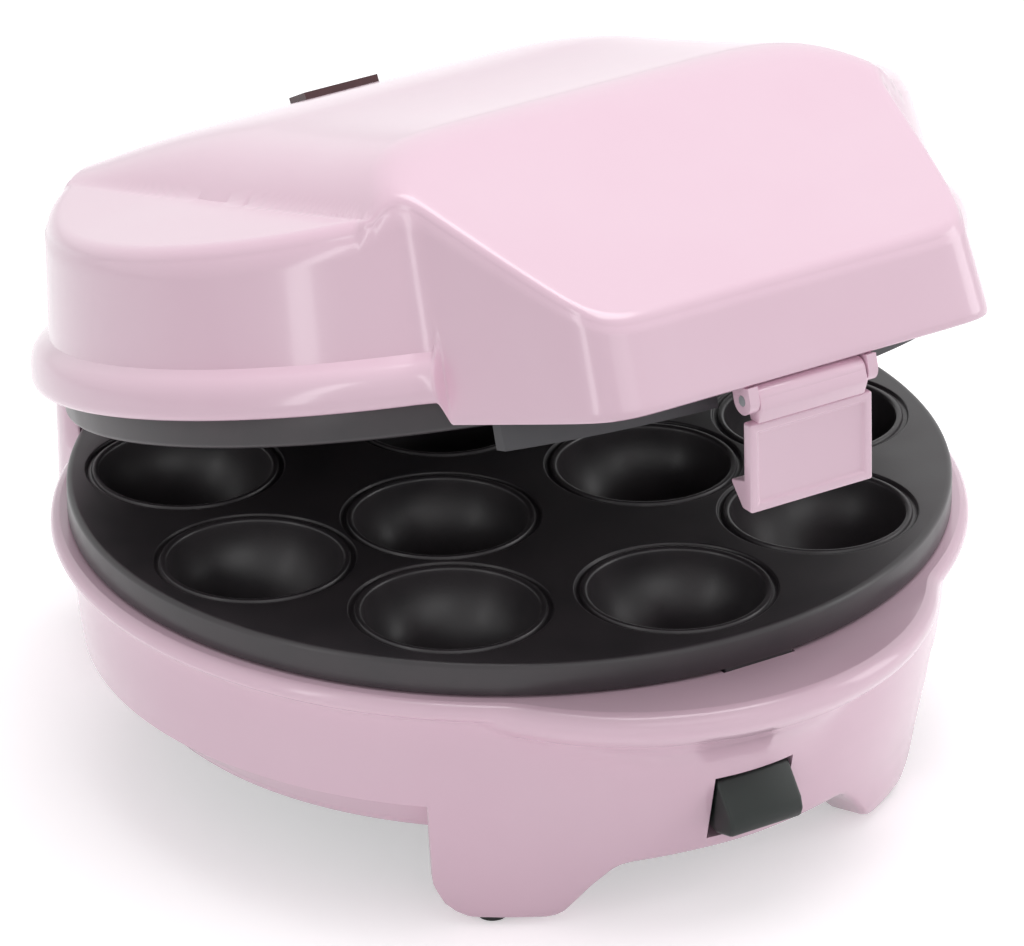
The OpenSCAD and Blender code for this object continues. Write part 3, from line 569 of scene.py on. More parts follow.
def bar(low: Sequence[float], high: Sequence[float], bevel: float) -> Part:
    """A bevelled bar from its lowest to its highest corner."""
    (x0, y0, z0), (x1, y1, z1) = low, high
    return prism([(y0, z0), (y1, z0), (y1, z1), (y0, z1)], x0, x1, bevel)


def box_part(low: Sequence[float], high: Sequence[float]) -> Part:
    """A plain box for cutting, from its lowest to its highest corner."""
    corners = [(x, y, z) for z in (low[2], high[2]) for y in (low[1], high[1]) for x in (low[0], high[0])]
    return np.array(corners, float), [[0, 2, 3, 1], [4, 5, 7, 6], [0, 1, 5, 4], [2, 6, 7, 3],
                                      [0, 4, 6, 2], [1, 3, 7, 5]]


def joined(parts: Sequence[Part]) -> Part:
    """Puts several parts into one.

    Args:
        parts: The parts, which aren't sewn to each other.

    Returns:
        One part with all their vertices and faces, in the same order.
    """
    verts, faces, start = [], [], 0
    for v, f in parts:
        verts.append(v)
        faces += [[i + start for i in face] for face in f]
        start += len(v)
    return np.concatenate(verts), faces


def flipped(part: Part) -> Part:
    """The part with its faces turned to its other side."""
    return part[0], [face[::-1] for face in part[1]]


def mirrored(part: Part, axis: int = 0) -> Part:
    """The part's mirror image along an axis, with its faces still outwards."""
    sign = np.where(np.arange(3) == axis, -1.0, 1.0)
    return flipped((part[0] * sign, part[1]))


def arc(cy: float, cz: float, r: float, a0: float, a1: float, n: int) -> list[tuple[float, float]]:
    """Points of an arc about (cy, cz) from angle a0 to a1, in n steps."""
    turn = [math.radians(a0 + (a1 - a0) * i / n) for i in range(n + 1)]
    return [(cy + r * math.cos(t), cz + r * math.sin(t)) for t in turn]


def circle(cy: float, cz: float, r: float, n: int) -> list[tuple[float, float]]:
    """Points of a whole circle about (cy, cz)."""
    return arc(cy, cz, r, 0, 360 - 360 / n, n - 1)


@dataclass(frozen=True)
class Maker:
    """Sizes that every sub-assembly shares, in millimetres."""

    plate_r: float = 102.0
    # Height of the plane where the plates meet, over the worktop
    mate_z: float = 69.5
    hinge_y: float = plate_r + 8.0
    hinge_z: float = 13.5
    # How far the lid stands open at rest, in degrees
    lid_open: float = 16.5
    # Radius of the well in the base that holds the plate
    well_r: float = 97.8
    wall: float = 2.5


@dataclass
class LidHousing:
    """The lid's cover: a drum with a lip bead, a raised middle and a nose in front."""

    lip_z: float = 8.0
    bead_out: float = 4.3
    bead_top: float = 18.6
    # The bead's section, as shares of its height and of its reach
    bead_line: tuple = ((0.0, 0.58), (0.03, 0.74), (0.1, 0.88), (0.2, 0.97), (0.32, 1.0), (0.45, 1.0),
                        (0.58, 0.97), (0.7, 0.87), (0.8, 0.7), (0.88, 0.46), (0.94, 0.2), (1.0, 0.0))
    drum_r: float = Maker.plate_r + 1.0
    # How far the walls lean in for each unit of height
    draft: float = 0.143
    shoulder_z: float = 48.0
    shoulder_slope: float = 0.13
    # The raised middle falls off to its sides with this half width and power
    hill_half: float = 69.0
    hill_power: float = 8.0
    crown_z: float = 59.5
    crown_y: float = 10.0
    fall_back: float = 0.0022
    rise_front: float = 0.0004
    nose_reach: float = Maker.plate_r + 25.5
    nose_z: float = 2.5
    nose_top: float = 23.5
    nose_round: float = 0.8
    ramp_back: float = 3.0
    ramp_slope: float = 0.577
    ramp_blend: float = 5.0
    # Half width and place of the nose's root, and half width of its tip
    root_half: float = 66.5
    root_y: float = Maker.plate_r - 19.0
    root_blend: float = 2.5
    tip_half: float = 50.0
    corner_power: float = 30.0
    edge_r: float = 4.5
    lamp_y: float = 60.0
    # Half sizes of the opening for the lamp
    lamp_half: tuple = (8.5, 3.0, 15.0)
    # Opening for the hinge block
    block_half: float = 30.4
    block_in: float = Maker.plate_r - 22.0
    block_out: float = Maker.hinge_y + 8.0
    block_top: float = 28.4
    # Directions as (from, to, step), closest where the nose's root bends
    zones: tuple = ((0, 16, 0.5), (16, 26, 0.35), (26, 35, 0.6), (35, 42, 0.2), (42, 60, 0.6),
                    (60, 180, 0.75))
    side_rings: int = 8
    top_rings: int = 62
    inner_rings: int = 24

    def root_angle(self) -> float:
        """Direction of the nose's root."""
        return math.degrees(math.atan2(self.root_half, self.root_y))

    def nose_r(self, a: Array) -> Array:
        """Distance from the centre to the nose's front or side.

        Args:
            a: Directions.

        Returns:
            The distance in each direction, at the nose's lower edge.
        """
        run = (self.root_half - self.tip_half) / (self.nose_reach - self.root_y)
        cos = np.maximum(np.cos(np.radians(a)), 0.05)
        side = (self.root_half + run * self.root_y) / (np.abs(np.sin(np.radians(a))) + run * cos)
        return least(self.corner_power, self.nose_reach / cos, side)

    def nose_share(self, a: Array) -> Array:
        """One in front of the nose and zero beside it."""
        return 1 - ramp(np.abs(a), self.root_angle() - 0.9, self.root_angle() + 0.5)

    def radius(self, a: Array, z: Array) -> Array:
        """The wall's radius without the lip bead.

        Args:
            a: Directions.
            z: Height in each direction.

        Returns:
            The radius in each direction.
        """
        drum = self.drum_r - self.draft * (z - self.bead_top)
        nose = self.nose_r(a) - self.draft * (z - self.nose_z)
        # Well past its root the nose's side would cross the drum again
        nose = np.where(np.abs(a) < self.root_angle() + 12, nose, 0.0)
        return soft_max(drum, nose, self.root_blend)

    def height(self, x: Array, y: Array) -> Array:
        """Height of the lid's top over points.

        Args:
            x: Places to the right.
            y: Places to the back.

        Returns:
            The height over each point.
        """
        run = np.where(y > self.crown_y, -self.fall_back, self.rise_front)
        crown = self.crown_z + run * (y - self.crown_y) ** 2
        u = np.minimum(np.abs(x) / self.hill_half, 1.0)
        bump = np.maximum(crown - self.shoulder_z, 0.0) * (1 - u**self.hill_power)
        flank = self.shoulder_z - self.shoulder_slope * np.maximum(np.abs(x) - self.hill_half, 0.0)
        slope = self.nose_top + self.ramp_slope * (y + self.nose_reach - self.ramp_back)
        return soft_min(slope, flank + bump, self.ramp_blend)

    def over(self, a: Array, r: Array) -> Array:
        """Height of the top in a direction, at a radius."""
        t = np.radians(a)
        return self.height(r * np.sin(t), -r * np.cos(t))

    def skin(self, a: Array, depth: float, rows_top: int) -> Array:
        """Rings of the lid's skin from its lower edge up to the crown.

        Args:
            a: Directions.
            depth: Distance under the outer skin.
            rows_top: Rings over the top.

        Returns:
            Array of rings, points and coordinates.
        """
        nose = self.nose_share(a)
        # The top's height at the wall, found from a first guess in the middle of the wall
        top_z = self.over(a, self.radius(a, self.over(a, self.radius(a, 30.0))))
        rim = self.radius(a, top_z)
        # The edge is rounded from the wall to the top's own slope, measured from 1 to 4 mm inside
        rise_in = np.clip((self.over(a, rim - 4.0) - self.over(a, rim - 1.0)) / 3.0, 0.0, 0.8)
        wall_top = top_z + self.edge_r * (rise_in - np.sqrt(1 + rise_in**2))
        sweep = np.pi / 2 - np.arctan(rise_in)
        rows = []
        for k, (up, out) in enumerate(self.bead_line):
            bead = self.lip_z + (self.bead_top - self.lip_z) * up
            plain = self.nose_z + (wall_top - self.nose_z) * 0.5 * up
            z = mix(bead, plain, nose)
            # The nose's lower edge is rounded over its first three rings
            rounding = self.nose_round * (1 - min(k, 3) / 3) ** 2
            extra = self.bead_out * out * (1 - nose) - rounding * nose if depth == 0 else 0.0
            rows.append((self.radius(a, z) - depth + extra, z))
        start = rows[-1][1]
        shares = np.arange(1, self.side_rings + 1) / self.side_rings
        for share in shares:
            z = start + (wall_top - start) * share
            rows.append((self.radius(a, z) - depth, z))
        rim = rim - depth
        for share in shares:
            t = sweep * share
            r = rim - self.edge_r * (1 - np.cos(t))
            z = np.minimum(wall_top + self.edge_r * np.sin(t), self.over(a, r))
            rows.append((r, z - depth * np.sin(t)))
        last = rows[-1][0]
        for share in 1 - np.linspace(0.0, 1.0, rows_top + 1)[1:-1]:
            rows.append((last * share, self.over(a, last * share) - depth))
        return np.stack([polar(a, r, z) for r, z in rows])

    def lamp_opening(self) -> Part:
        """The shape cut out of the top for the lamp.

        Returns:
            A box that stands square to the top where the lamp is.
        """
        verts, faces = box_part([-half for half in self.lamp_half], self.lamp_half)
        tilt = -math.atan(2 * self.fall_back * (self.lamp_y - self.crown_y))
        c, s = math.cos(tilt), math.sin(tilt)
        y = verts[:, 1] * c - verts[:, 2] * s + self.lamp_y
        z = verts[:, 1] * s + verts[:, 2] * c + float(self.height(0.0, self.lamp_y))
        return np.stack([verts[:, 0], y, z], 1), faces

    def build(self, finishes: Finishes) -> None:
        """Makes the cover.

        Args:
            finishes: All the finishes.
        """
        a = fine_angles(self.zones)
        crown = float(self.height(0.0, 0.0))
        outer = dome(self.skin(a, 0.0, self.top_rings), crown)
        inner = dome(self.skin(a, Maker.wall, self.inner_rings)[::3], crown - Maker.wall)
        verts, faces = joined([outer, flipped(inner)])
        cols, start = len(a), len(outer[0])
        faces += [[(i + 1) % cols, i, start + i, start + (i + 1) % cols] for i in range(cols)]
        block = box_part((-self.block_half, self.block_in, 0.0),
                         (self.block_half, self.block_out, self.block_top))
        cover = cut_away((verts, faces), [block, self.lamp_opening()])
        piece("lid_cover", on_lid(cover), finishes, Body.LID, Slot.PINK, "lid_shell")


@dataclass
class BaseHousing:
    """The drum's shell with its rim, chin, feet and hinge tower."""

    ledge_z: float = -8.5
    skirt_z: float = -38.2
    tier_z: float = -49.0
    tier_r: float = 94.1
    tier_low_r: float = 88.1
    hole_r: float = 84.1
    foot_z: float = -68.0
    arch_z: float = -55.2
    # Edges of the arch and of the feet, in degrees from the front or the back
    arch_edge: float = 18.2
    foot_in: float = 27.0
    foot_out: float = 39.0
    foot_edge: float = 44.2
    # A point in the middle of the slope from the arch to the foot, as (degrees, height)
    slope_middle: tuple = (22.2, -60.6)
    foot_rings: int = 16
    chin_back: float = 50.0
    # The hinge tower stands behind this direction, round an inner wall of this radius
    tower_from: float = 130.0
    tower_r: float = Maker.plate_r + 2.5
    tower_top: float = 4.0
    # Its corners slant from one half width, at slant_y, to the other, at its back
    tower_x0: float = 71.0
    tower_x1: float = 52.0
    slant_y: float = 86.0
    tower_back: float = Maker.hinge_y + 8.0
    corner_power: float = 60.0
    # Sections as (height, radius), the chin's about its own centre
    chin_line: tuple = ((-8.5, 67.0), (-8.9, 68.3), (-9.7, 69.3), (-10.8, 69.9), (-12.0, 70.0), (-13.2, 69.8),
                        (-15.0, 68.8), (-17.0, 66.9), (-18.2, 65.4), (-18.8, 64.0), (-19.0, 62.6),
                        (-19.6, 61.4), (-21.5, 59.8), (-24.0, 57.0), (-27.0, 54.4), (-31.0, 52.2),
                        (-36.0, 50.6), (-40.0, 49.6), (-70.0, 42.0))
    drum_line: tuple = ((-8.5, 103.8), (-8.9, 104.9), (-9.7, 105.7), (-10.9, 106.0), (-12.1, 105.6),
                        (-13.1, 104.5), (-13.9, 102.9), (-14.9, 101.6), (-16.5, 101.1), (-20.0, 100.8),
                        (-30.0, 100.3), (-38.2, 99.2), (-44.0, 98.3), (-58.0, 95.6), (-68.0, 94.5))
    # Heights of the rings down the wall, closest where the rim and the chin bend
    levels: tuple = (-8.6, -8.9, -9.3, -9.8, -10.4, -11.0, -11.6, -12.2, -12.8, -13.4, -14.0, -14.8, -15.6,
                     -16.4, -17.2, -17.8, -18.3, -18.7, -18.95, -19.2, -19.6, -20.2, -21.0, -22.0, -23.2,
                     -24.6, -26.2, -28.2, -30.5, -33.0, -35.6, -37.7)
    # Rounded edges, as distances in from the side and off the end
    edge: tuple = ((1.6, 0.0), (0.45, 0.45), (0.0, 1.6))
    lower_edge: tuple = ((0.25, 0.75), (0.8, 0.25), (1.6, 0.0))
    # Directions as (from, to, step), closest where the chin, the feet and the tower bend
    zones: tuple = ((0, 16, 0.6), (16, 46, 0.3), (46, 120, 0.9), (120, 134, 0.6), (134, 165, 0.3),
                    (165, 180, 0.6))
    # Lowest and highest corners of the openings for the right clip, the lever and the tongue
    clip_slot: tuple = ((10.7, 103.2, -9.3), (25.3, 107.6, -4.7))
    lever_slot: tuple = ((-10.5, -118.0, -52.0), (10.5, -80.0, -35.5))
    tongue_notch: tuple = ((-9.6, -101.7, -11.5), (9.6, -93.5, 0.5))
    gland_z: float = -26.0
    gland_r: float = 7.0
    gland_y0: float = Maker.hinge_y - 4.0
    gland_y1: float = Maker.hinge_y + 16.0
    ear_r: float = 5.5
    ear_x0: float = 30.5
    ear_x1: float = 38.0
    ear_bevel: float = 0.5

    def chin(self, a: Array, z: float | Array) -> Array:
        """The chin's reach from the plate's centre.

        Args:
            a: Directions.
            z: Height, or a height in each direction.

        Returns:
            The reach in each direction, and zero where there is no chin.
        """
        zs, rs = zip(*reversed(self.chin_line))
        r = np.interp(z, zs, rs)
        t = np.radians(a)
        inside = r * r - (self.chin_back * np.sin(t)) ** 2
        reach = self.chin_back * np.cos(t) + np.sqrt(np.maximum(inside, 0.0))
        return np.where((np.abs(a) < 60) & (inside > 0), reach, 0.0)

    def outer(self, a: Array, z: float | Array) -> Array:
        """The drum's radius in a direction at a height, with the chin blended in."""
        zs, rs = zip(*reversed(self.drum_line))
        return soft_max(np.interp(z, zs, rs), self.chin(a, z), 1.6)

    def tower_reach(self, a: Array) -> Array:
        """Distance from the centre to the tower's outer wall.

        Args:
            a: Directions.

        Returns:
            The distance in each direction, and zero where there is no tower.
        """
        back = np.maximum(-np.cos(np.radians(a)), 1e-3)
        across = np.maximum(np.abs(np.sin(np.radians(a))), 1e-3)
        run = (self.tower_back - self.slant_y) / (self.tower_x0 - self.tower_x1)
        slant = (self.slant_y + run * self.tower_x0) / (back + run * across)
        reach = least(self.corner_power, self.tower_x0 / across, self.tower_back / back, slant)
        return np.where(np.abs(a) > self.tower_from, reach, 0.0)

    def from_end(self, a: Array) -> Array:
        """Degrees from the front or from the back, whichever is nearer."""
        return np.minimum(np.abs(a), 180 - np.abs(a))

    def foot_share(self, a: Array) -> Array:
        """One where the wall runs on down to the feet or the arch, zero beside them."""
        return 1 - ramp(self.from_end(a), self.foot_edge - 0.5, self.foot_edge + 0.5)

    def bottom(self, a: Array) -> Array:
        """Height of the shell's lower edge.

        Args:
            a: Directions.

        Returns:
            The height in each direction.
        """
        arch, near, far, edge = self.arch_edge, self.foot_in, self.foot_out, self.foot_edge
        line = ((0, self.arch_z), (arch - 1.6, self.arch_z), (arch, self.arch_z - 0.4),
                (arch + 1.2, self.arch_z - 1.4), self.slope_middle, (near - 1.2, self.foot_z + 1.3),
                (near, self.foot_z + 0.35), (near + 1.2, self.foot_z), (far - 0.8, self.foot_z),
                (far, self.foot_z + 0.2), (far + 1.6, self.foot_z + 1.3), (far + 3.1, self.foot_z + 3.2),
                (edge - 1.0, self.foot_z + 6.4), (edge - 0.3, self.foot_z + 9.5), (edge, self.foot_z + 12.5),
                (90, self.foot_z + 12.5))
        foot = np.interp(self.from_end(a), *zip(*line))
        share = self.foot_share(a)
        return np.where(share > 0, self.tier_z + (foot - self.tier_z) * share, self.tier_z)

    def rings(self, a: Array) -> Array:
        """Rings of the whole shell, which run up inside, over the rim, down and under.

        Args:
            a: Directions.

        Returns:
            Array of rings, points and coordinates, from the last ring to the first.
        """
        reach = self.tower_reach(a)
        thick = reach - self.tower_r
        tower = ramp(thick, 0.0, 4.0) * (np.abs(a) > self.tower_from)
        low = self.bottom(a)
        rows: list[tuple[Array, Array]] = []
        round_in = 0.9

        def ring(radius: float | Array, height: float | Array) -> None:
            """Adds a ring whose radius and height are given in each direction or once."""
            rows.append((radius + 0 * a, height + 0 * a))

        # The flat ledge round the well, up to the rim or to the tower's inner wall
        well = Maker.well_r
        rim = np.maximum(self.outer(a, self.ledge_z), self.drum_line[0][1])
        ring(well, self.ledge_z - 0.8)
        ring(well + 0.25, self.ledge_z - 0.25)
        ring(well + 0.8, self.ledge_z)
        for s in (0.25, 0.5, 0.75):
            ring(well + 0.8 + (rim - well - 1.2) * s * (1 - tower) + 5.4 * s * tower, self.ledge_z)
        ring(mix(rim - 0.4, self.tower_r - 0.5, tower), self.ledge_z)
        # The tower's inner wall, top and outer edge, which close up to nothing round the rest
        top = self.tower_top
        for dr, z in ((0.0, self.ledge_z + 0.5), (0.0, -4.0), (0.0, 0.0), (0.0, top - round_in),
                      (0.25, top - 0.3), (round_in, top)):
            ring(mix(rim - 0.2, self.tower_r + dr, tower), mix(self.ledge_z, z, tower))
        for s in (0.35, 0.7):
            ring(mix(rim, self.tower_r + round_in + (thick - 2.5) * s, tower), mix(self.ledge_z, top, tower))
        for dr, dz in self.edge:
            out = np.maximum(reach - dr, self.tower_r + round_in)
            ring(mix(rim + 0.02, out, tower), mix(self.ledge_z, top - dz, tower))
        for z in self.levels:
            ring(np.maximum(self.outer(a, z), reach * (tower > 0)), z)
        # The step from the skirt to the lower tier, or straight on down where the feet are
        for k in range(self.foot_rings + 1):
            s = k / self.foot_rings
            down = self.skirt_z + (low + 1.6 - self.skirt_z) * s
            step = self.tier_r + (self.tier_low_r - self.tier_r) * s
            ring(mix(step, self.outer(a, down), self.foot_share(a)), down)
        under = rows[-1][0]
        for dr, dz in self.lower_edge:
            ring(under - dr, low + dz)
        ring((under + self.hole_r) / 2, low)
        # Back up inside, past the seat of the bottom cover
        for dr, dz in self.edge:
            ring(self.hole_r + dr, low + dz)
        for r, z in ((self.hole_r, self.tier_z + 1.0), (self.hole_r, self.tier_z + 3.0),
                     (self.hole_r + 8, self.skirt_z + 3.0), (well, self.skirt_z + 6.0)):
            ring(r, z)
        return np.stack([polar(a, r, z) for r, z in reversed(rows)])

    def openings(self) -> list[Part]:
        """The shapes cut out for the lever, the plate's tongue, the rear clips and the lead.

        Returns:
            Closed shapes, none of which touches another.
        """
        clip = box_part(*self.clip_slot)
        # Drawn along X, and then turned to run to the back
        verts, faces = prism(circle(0.0, self.gland_z, self.gland_r, 36), self.gland_y0, self.gland_y1, 0.0)
        gland = (np.stack([-verts[:, 1], verts[:, 0], verts[:, 2]], 1), faces)
        return [box_part(*self.lever_slot), box_part(*self.tongue_notch), clip, mirrored(clip), gland]

    def build(self, finishes: Finishes) -> None:
        """Makes the drum and the two ears that hold the hinge pins.

        Args:
            finishes: All the finishes.
        """
        a = fine_angles(self.zones)
        rings = self.rings(a)
        shell = (rings.reshape(-1, 3), grid_faces(len(rings), len(a), True))
        drum = cut_away(shell, self.openings())
        piece("drum_housing", at_mate(drum), finishes, Body.BASE, Slot.PINK, "base_shell")
        # The ears' roots are sunk 1 mm into the tower's top
        root = self.tower_top - 1
        ear = prism([(Maker.hinge_y - self.ear_r, root), (Maker.hinge_y + self.ear_r, root)]
                    + arc(Maker.hinge_y, Maker.hinge_z, self.ear_r, 0, 180, 14),
                    self.ear_x0, self.ear_x1, self.ear_bevel)
        ears = joined([ear, mirrored(ear)])
        piece("hinge_ears", at_mate(ears), finishes, Body.BASE, Slot.PINK)


@dataclass
class CookingPlate:
    """One cast plate: flat face, rim band, twelve pits, front tongue and rear tabs."""

    face: float = -0.2
    skin: float = 2.6
    low: float = -8.0
    wall: float = 2.2
    edge_r: float = 1.3
    pit: float = 20.0
    cup: float = 22.4
    hole: float = 23.3
    outer_row: float = 74.7
    outer_pits: int = 9
    inner_row: float = 31.0
    inner_pits: int = 3
    turn: float = -3.0
    # Steps in and down from the hole's edge into the groove and out of it
    groove: tuple = ((0.0, 0.0), (0.15, 0.0), (0.3, 0.08), (0.4, 0.3), (0.5, 0.62), (0.75, 0.8), (1.3, 0.8),
                     (1.6, 0.66), (1.75, 0.3), (1.9, 0.06), (2.1, 0.0))
    # Steps out and down over the pit's rounded lip
    lip: tuple = ((0.75, 0.0), (0.35, 0.1), (0.1, 0.34), (0.0, 0.8))
    facets: int = 64
    rim_facets: int = 216
    # The tongue that the lever holds, with a window for its catch
    tongue_half: float = 9.0
    tongue_t: float = 2.0
    tongue_low: float = -17.0
    tongue_top: float = -1.5
    window_half: float = 6.2
    window_low: float = -16.2
    window_top: float = -12.0
    tab_x0: float = 12.0
    tab_x1: float = 24.0
    tab_out: float = 4.0
    tab_t: float = 2.0
    bevel: float = 0.4

    def places(self) -> Array:
        """Centres of the twelve pits.

        Returns:
            One row of coordinates for each pit.
        """
        rows = [(self.outer_row, self.turn - 90 + 360 / self.outer_pits * i) for i in range(self.outer_pits)]
        rows += [(self.inner_row, self.turn + 90 + 360 / self.inner_pits * i) for i in range(self.inner_pits)]
        return np.array([(r * math.cos(math.radians(a)), r * math.sin(math.radians(a)), 0.0)
                         for r, a in rows])

    def cup_part(self) -> Part:
        """One pit with its land, groove and cup.

        Returns:
            The pit about its own centre, open at its outer edge.
        """
        line = [(self.hole - across, self.face - down) for across, down in self.groove]
        line += [(self.pit + across, self.face - down) for across, down in self.lip]
        # Down the bowl to its bottom, and back up its underside
        line += [(self.pit * math.cos(math.radians(a)), -self.pit * math.sin(math.radians(a)))
                 for a in np.linspace(5, 90, 18)]
        under = [(self.cup * math.cos(math.radians(a)), -self.cup * math.sin(math.radians(a)))
                 for a in np.linspace(90, 8, 13)]
        under += [(self.hole - 0.3, self.face - self.skin), (self.hole, self.face - self.skin)]
        return joined([revolved(line, self.facets), revolved(under, self.facets)])

    def web(self, radius: float, height: float) -> Part:
        """The flat sheet between the pits, out to a radius.

        Args:
            radius: Where the sheet ends.
            height: Its level.

        Returns:
            A sheet of triangles with a hole for each pit.
        """
        loops = [(0.0, 0.0, radius, self.rim_facets)]
        loops += [(x, y, self.hole, self.facets) for x, y, _ in self.places()]
        points, edges = [], []
        for x, y, r, count in loops:
            start = len(points)
            turn = [2 * math.pi * i / count for i in range(count)]
            points += [Vector((x + r * math.sin(t), y - r * math.cos(t))) for t in turn]
            edges += [(start + i, start + (i + 1) % count) for i in range(count)]
        flat, _, faces, *_ = delaunay_2d_cdt(points, edges, [], 0, 1e-5)
        at = np.array([v[:] for v in flat])
        middle = np.array([at[list(f)].mean(0) for f in faces])
        keep = np.hypot(*middle.T) < radius
        for x, y, _ in self.places():
            keep &= np.hypot(middle[:, 0] - x, middle[:, 1] - y) > self.hole
        verts = np.column_stack([at, np.full(len(at), height)])
        return verts, [list(f) for f, good in zip(faces, keep) if good]

    def casting(self, repeater: Repeater, finish: bpy.types.Material) -> Part:
        """Joins the face, the pits, the band, the tongue and the tabs of a plate that faces up.

        Args:
            repeater: Sets the pits on their places.
            finish: The coat.

        Returns:
            The whole plate.
        """
        rim, inner = Maker.plate_r, Maker.plate_r - self.wall
        flat, under = rim - self.edge_r, self.face - self.skin
        band = [(flat - 0.3, self.face), (flat, self.face)]
        band += [(flat + self.edge_r * math.sin(math.radians(t)),
                  self.face - self.edge_r * (1 - math.cos(math.radians(t)))) for t in (20, 40, 60, 80, 90)]
        band += [(rim, self.low / 2), (rim, self.low + 0.7), (rim - 0.2, self.low + 0.2),
                 (rim - 0.7, self.low), (inner + 0.4, self.low), (inner, self.low + 0.4), (inner, under)]
        body = closed(joined([repeater.spread(self.cup_part(), self.places(), finish),
                              self.web(flat - 0.3, self.face), self.web(inner, under),
                              revolved(band, self.rim_facets)]))
        # The tongue hangs just inside the band, at the front
        back = 0.3 - inner
        front = back - self.tongue_t
        tongue = bar((-self.tongue_half, front, self.tongue_low), (self.tongue_half, back, self.tongue_top),
                     self.bevel)
        window = box_part((-self.window_half, front - 1.0, self.window_low),
                          (self.window_half, back + 1.0, self.window_top))
        tab = bar((self.tab_x0, rim - self.tab_out, self.low),
                  (self.tab_x1, rim + self.tab_out, self.low + self.tab_t), self.bevel)
        return joined([body, cut_away(tongue, [window]), tab, mirrored(tab)])

    def build(self, finishes: Finishes, repeater: Repeater) -> None:
        """Makes the lower plate and the same plate turned over in the lid.

        Args:
            finishes: All the finishes.
            repeater: Sets the pits on their places.
        """
        plate = self.casting(repeater, finishes.of(Slot.NON_STICK))
        piece("lower_cooking_plate", at_mate(plate), finishes, Body.BASE, Slot.NON_STICK, "lower_plate")
        piece("upper_cooking_plate", on_lid(mirrored(plate, 2)), finishes, Body.LID, Slot.NON_STICK,
              "upper_plate")


@dataclass
class Latch:
    """The latch: a knuckle on its pin, a panel with a raised border, and a hook."""

    pin_y: float = -124.2
    pin_z: float = -0.8
    knuckle_r: float = 2.8
    knuckle_half: float = 14.0
    half: float = 16.0
    # The panel's inner face starts this far behind and below the pin, and slants by this angle
    panel_back: float = 2.3
    panel_drop: float = 5.0
    slant: float = 15.0
    thick: float = 3.0
    hook_d: float = 5.4
    hook_h: float = 6.0
    hook_out: float = 0.6
    chin_depth: float = 18.8
    chin_gap: float = 0.5
    border: float = 2.6
    recess: float = 0.9
    panel_bevel: float = 0.7
    knuckle_bevel: float = 0.3

    def build(self, finishes: Finishes) -> None:
        """Makes the latch as one moulding.

        Args:
            finishes: All the finishes.
        """
        t = math.radians(self.slant)
        along = np.array([math.sin(t), -math.cos(t)])
        across = np.array([math.cos(t), math.sin(t)])
        inner = np.array([self.pin_y + self.panel_back, self.pin_z - self.panel_drop])
        reach = self.chin_depth + self.chin_gap + inner[1]
        hook = inner + along * reach / math.cos(t)
        low = inner + along * (reach + self.hook_h + self.hook_out) / math.cos(t)
        line = [inner - across * self.thick, low - across * self.thick, low + across * self.hook_out,
                hook + np.array([self.hook_d, 0.0]), hook, inner]
        panel = prism([tuple(p) for p in line], -self.half, self.half, self.panel_bevel,
                      recess=(self.border, self.recess))
        front, back = self.pin_y - self.knuckle_r, self.pin_y + self.knuckle_r
        neck_line = [(front, self.pin_z), (front, self.pin_z - self.knuckle_r),
                     tuple(inner - across * self.thick), tuple(inner), (back, self.pin_z)]
        neck = prism(neck_line, -self.knuckle_half, self.knuckle_half, self.knuckle_bevel)
        knuckle = prism(circle(self.pin_y, self.pin_z, self.knuckle_r, 24), -self.knuckle_half,
                        self.knuckle_half, self.knuckle_bevel)
        latch = joined([panel, neck, knuckle])
        piece("latch_moulding", on_lid(latch), finishes, Body.LATCH, Slot.PINK, "latch")


@dataclass
class ReleaseLever:
    """The lower release lever: a tab outside the slot, a hub and an arm up to the plate."""

    half: float = 9.8
    arm_half: float = 5.8
    hub_y: float = -89.0
    hub_z: float = -41.5
    hub_r: float = 4.0
    # Outlines as (y, z), and the radii of their edges
    tab: tuple = ((-90.0, -45.5), (-88.0, -37.5), (-95.0, -36.4), (-99.2, -36.4), (-104.6, -43.6),
                  (-105.4, -46.4), (-104.6, -48.6), (-98.6, -50.0), (-94.0, -48.4))
    arm: tuple = ((-92.0, -39.5), (-89.0, -38.5), (-92.8, -29.0), (-96.0, -22.6), (-99.6, -17.6),
                  (-103.6, -17.0), (-103.6, -15.7), (-99.8, -14.2), (-99.8, -12.9), (-103.6, -12.4),
                  (-103.6, -11.4), (-105.2, -11.4), (-105.2, -17.4), (-102.4, -19.6), (-98.4, -24.0),
                  (-95.3, -30.0), (-94.6, -37.0))
    hub_bevel: float = 0.4
    tab_bevel: float = 0.9
    arm_bevel: float = 0.25

    def build(self, finishes: Finishes) -> None:
        """Makes the lever as one moulding.

        Args:
            finishes: All the finishes.
        """
        hub = prism(circle(self.hub_y, self.hub_z, self.hub_r, 24), -self.half, self.half, self.hub_bevel)
        tab = prism(self.tab, -self.half, self.half, self.tab_bevel)
        arm = prism(self.arm, -self.arm_half, self.arm_half, self.arm_bevel)
        lever = joined([hub, tab, arm])
        piece("release_lever", at_mate(lever), finishes, Body.LOWER_LEVER, Slot.LEVER, "lower_release_lever")


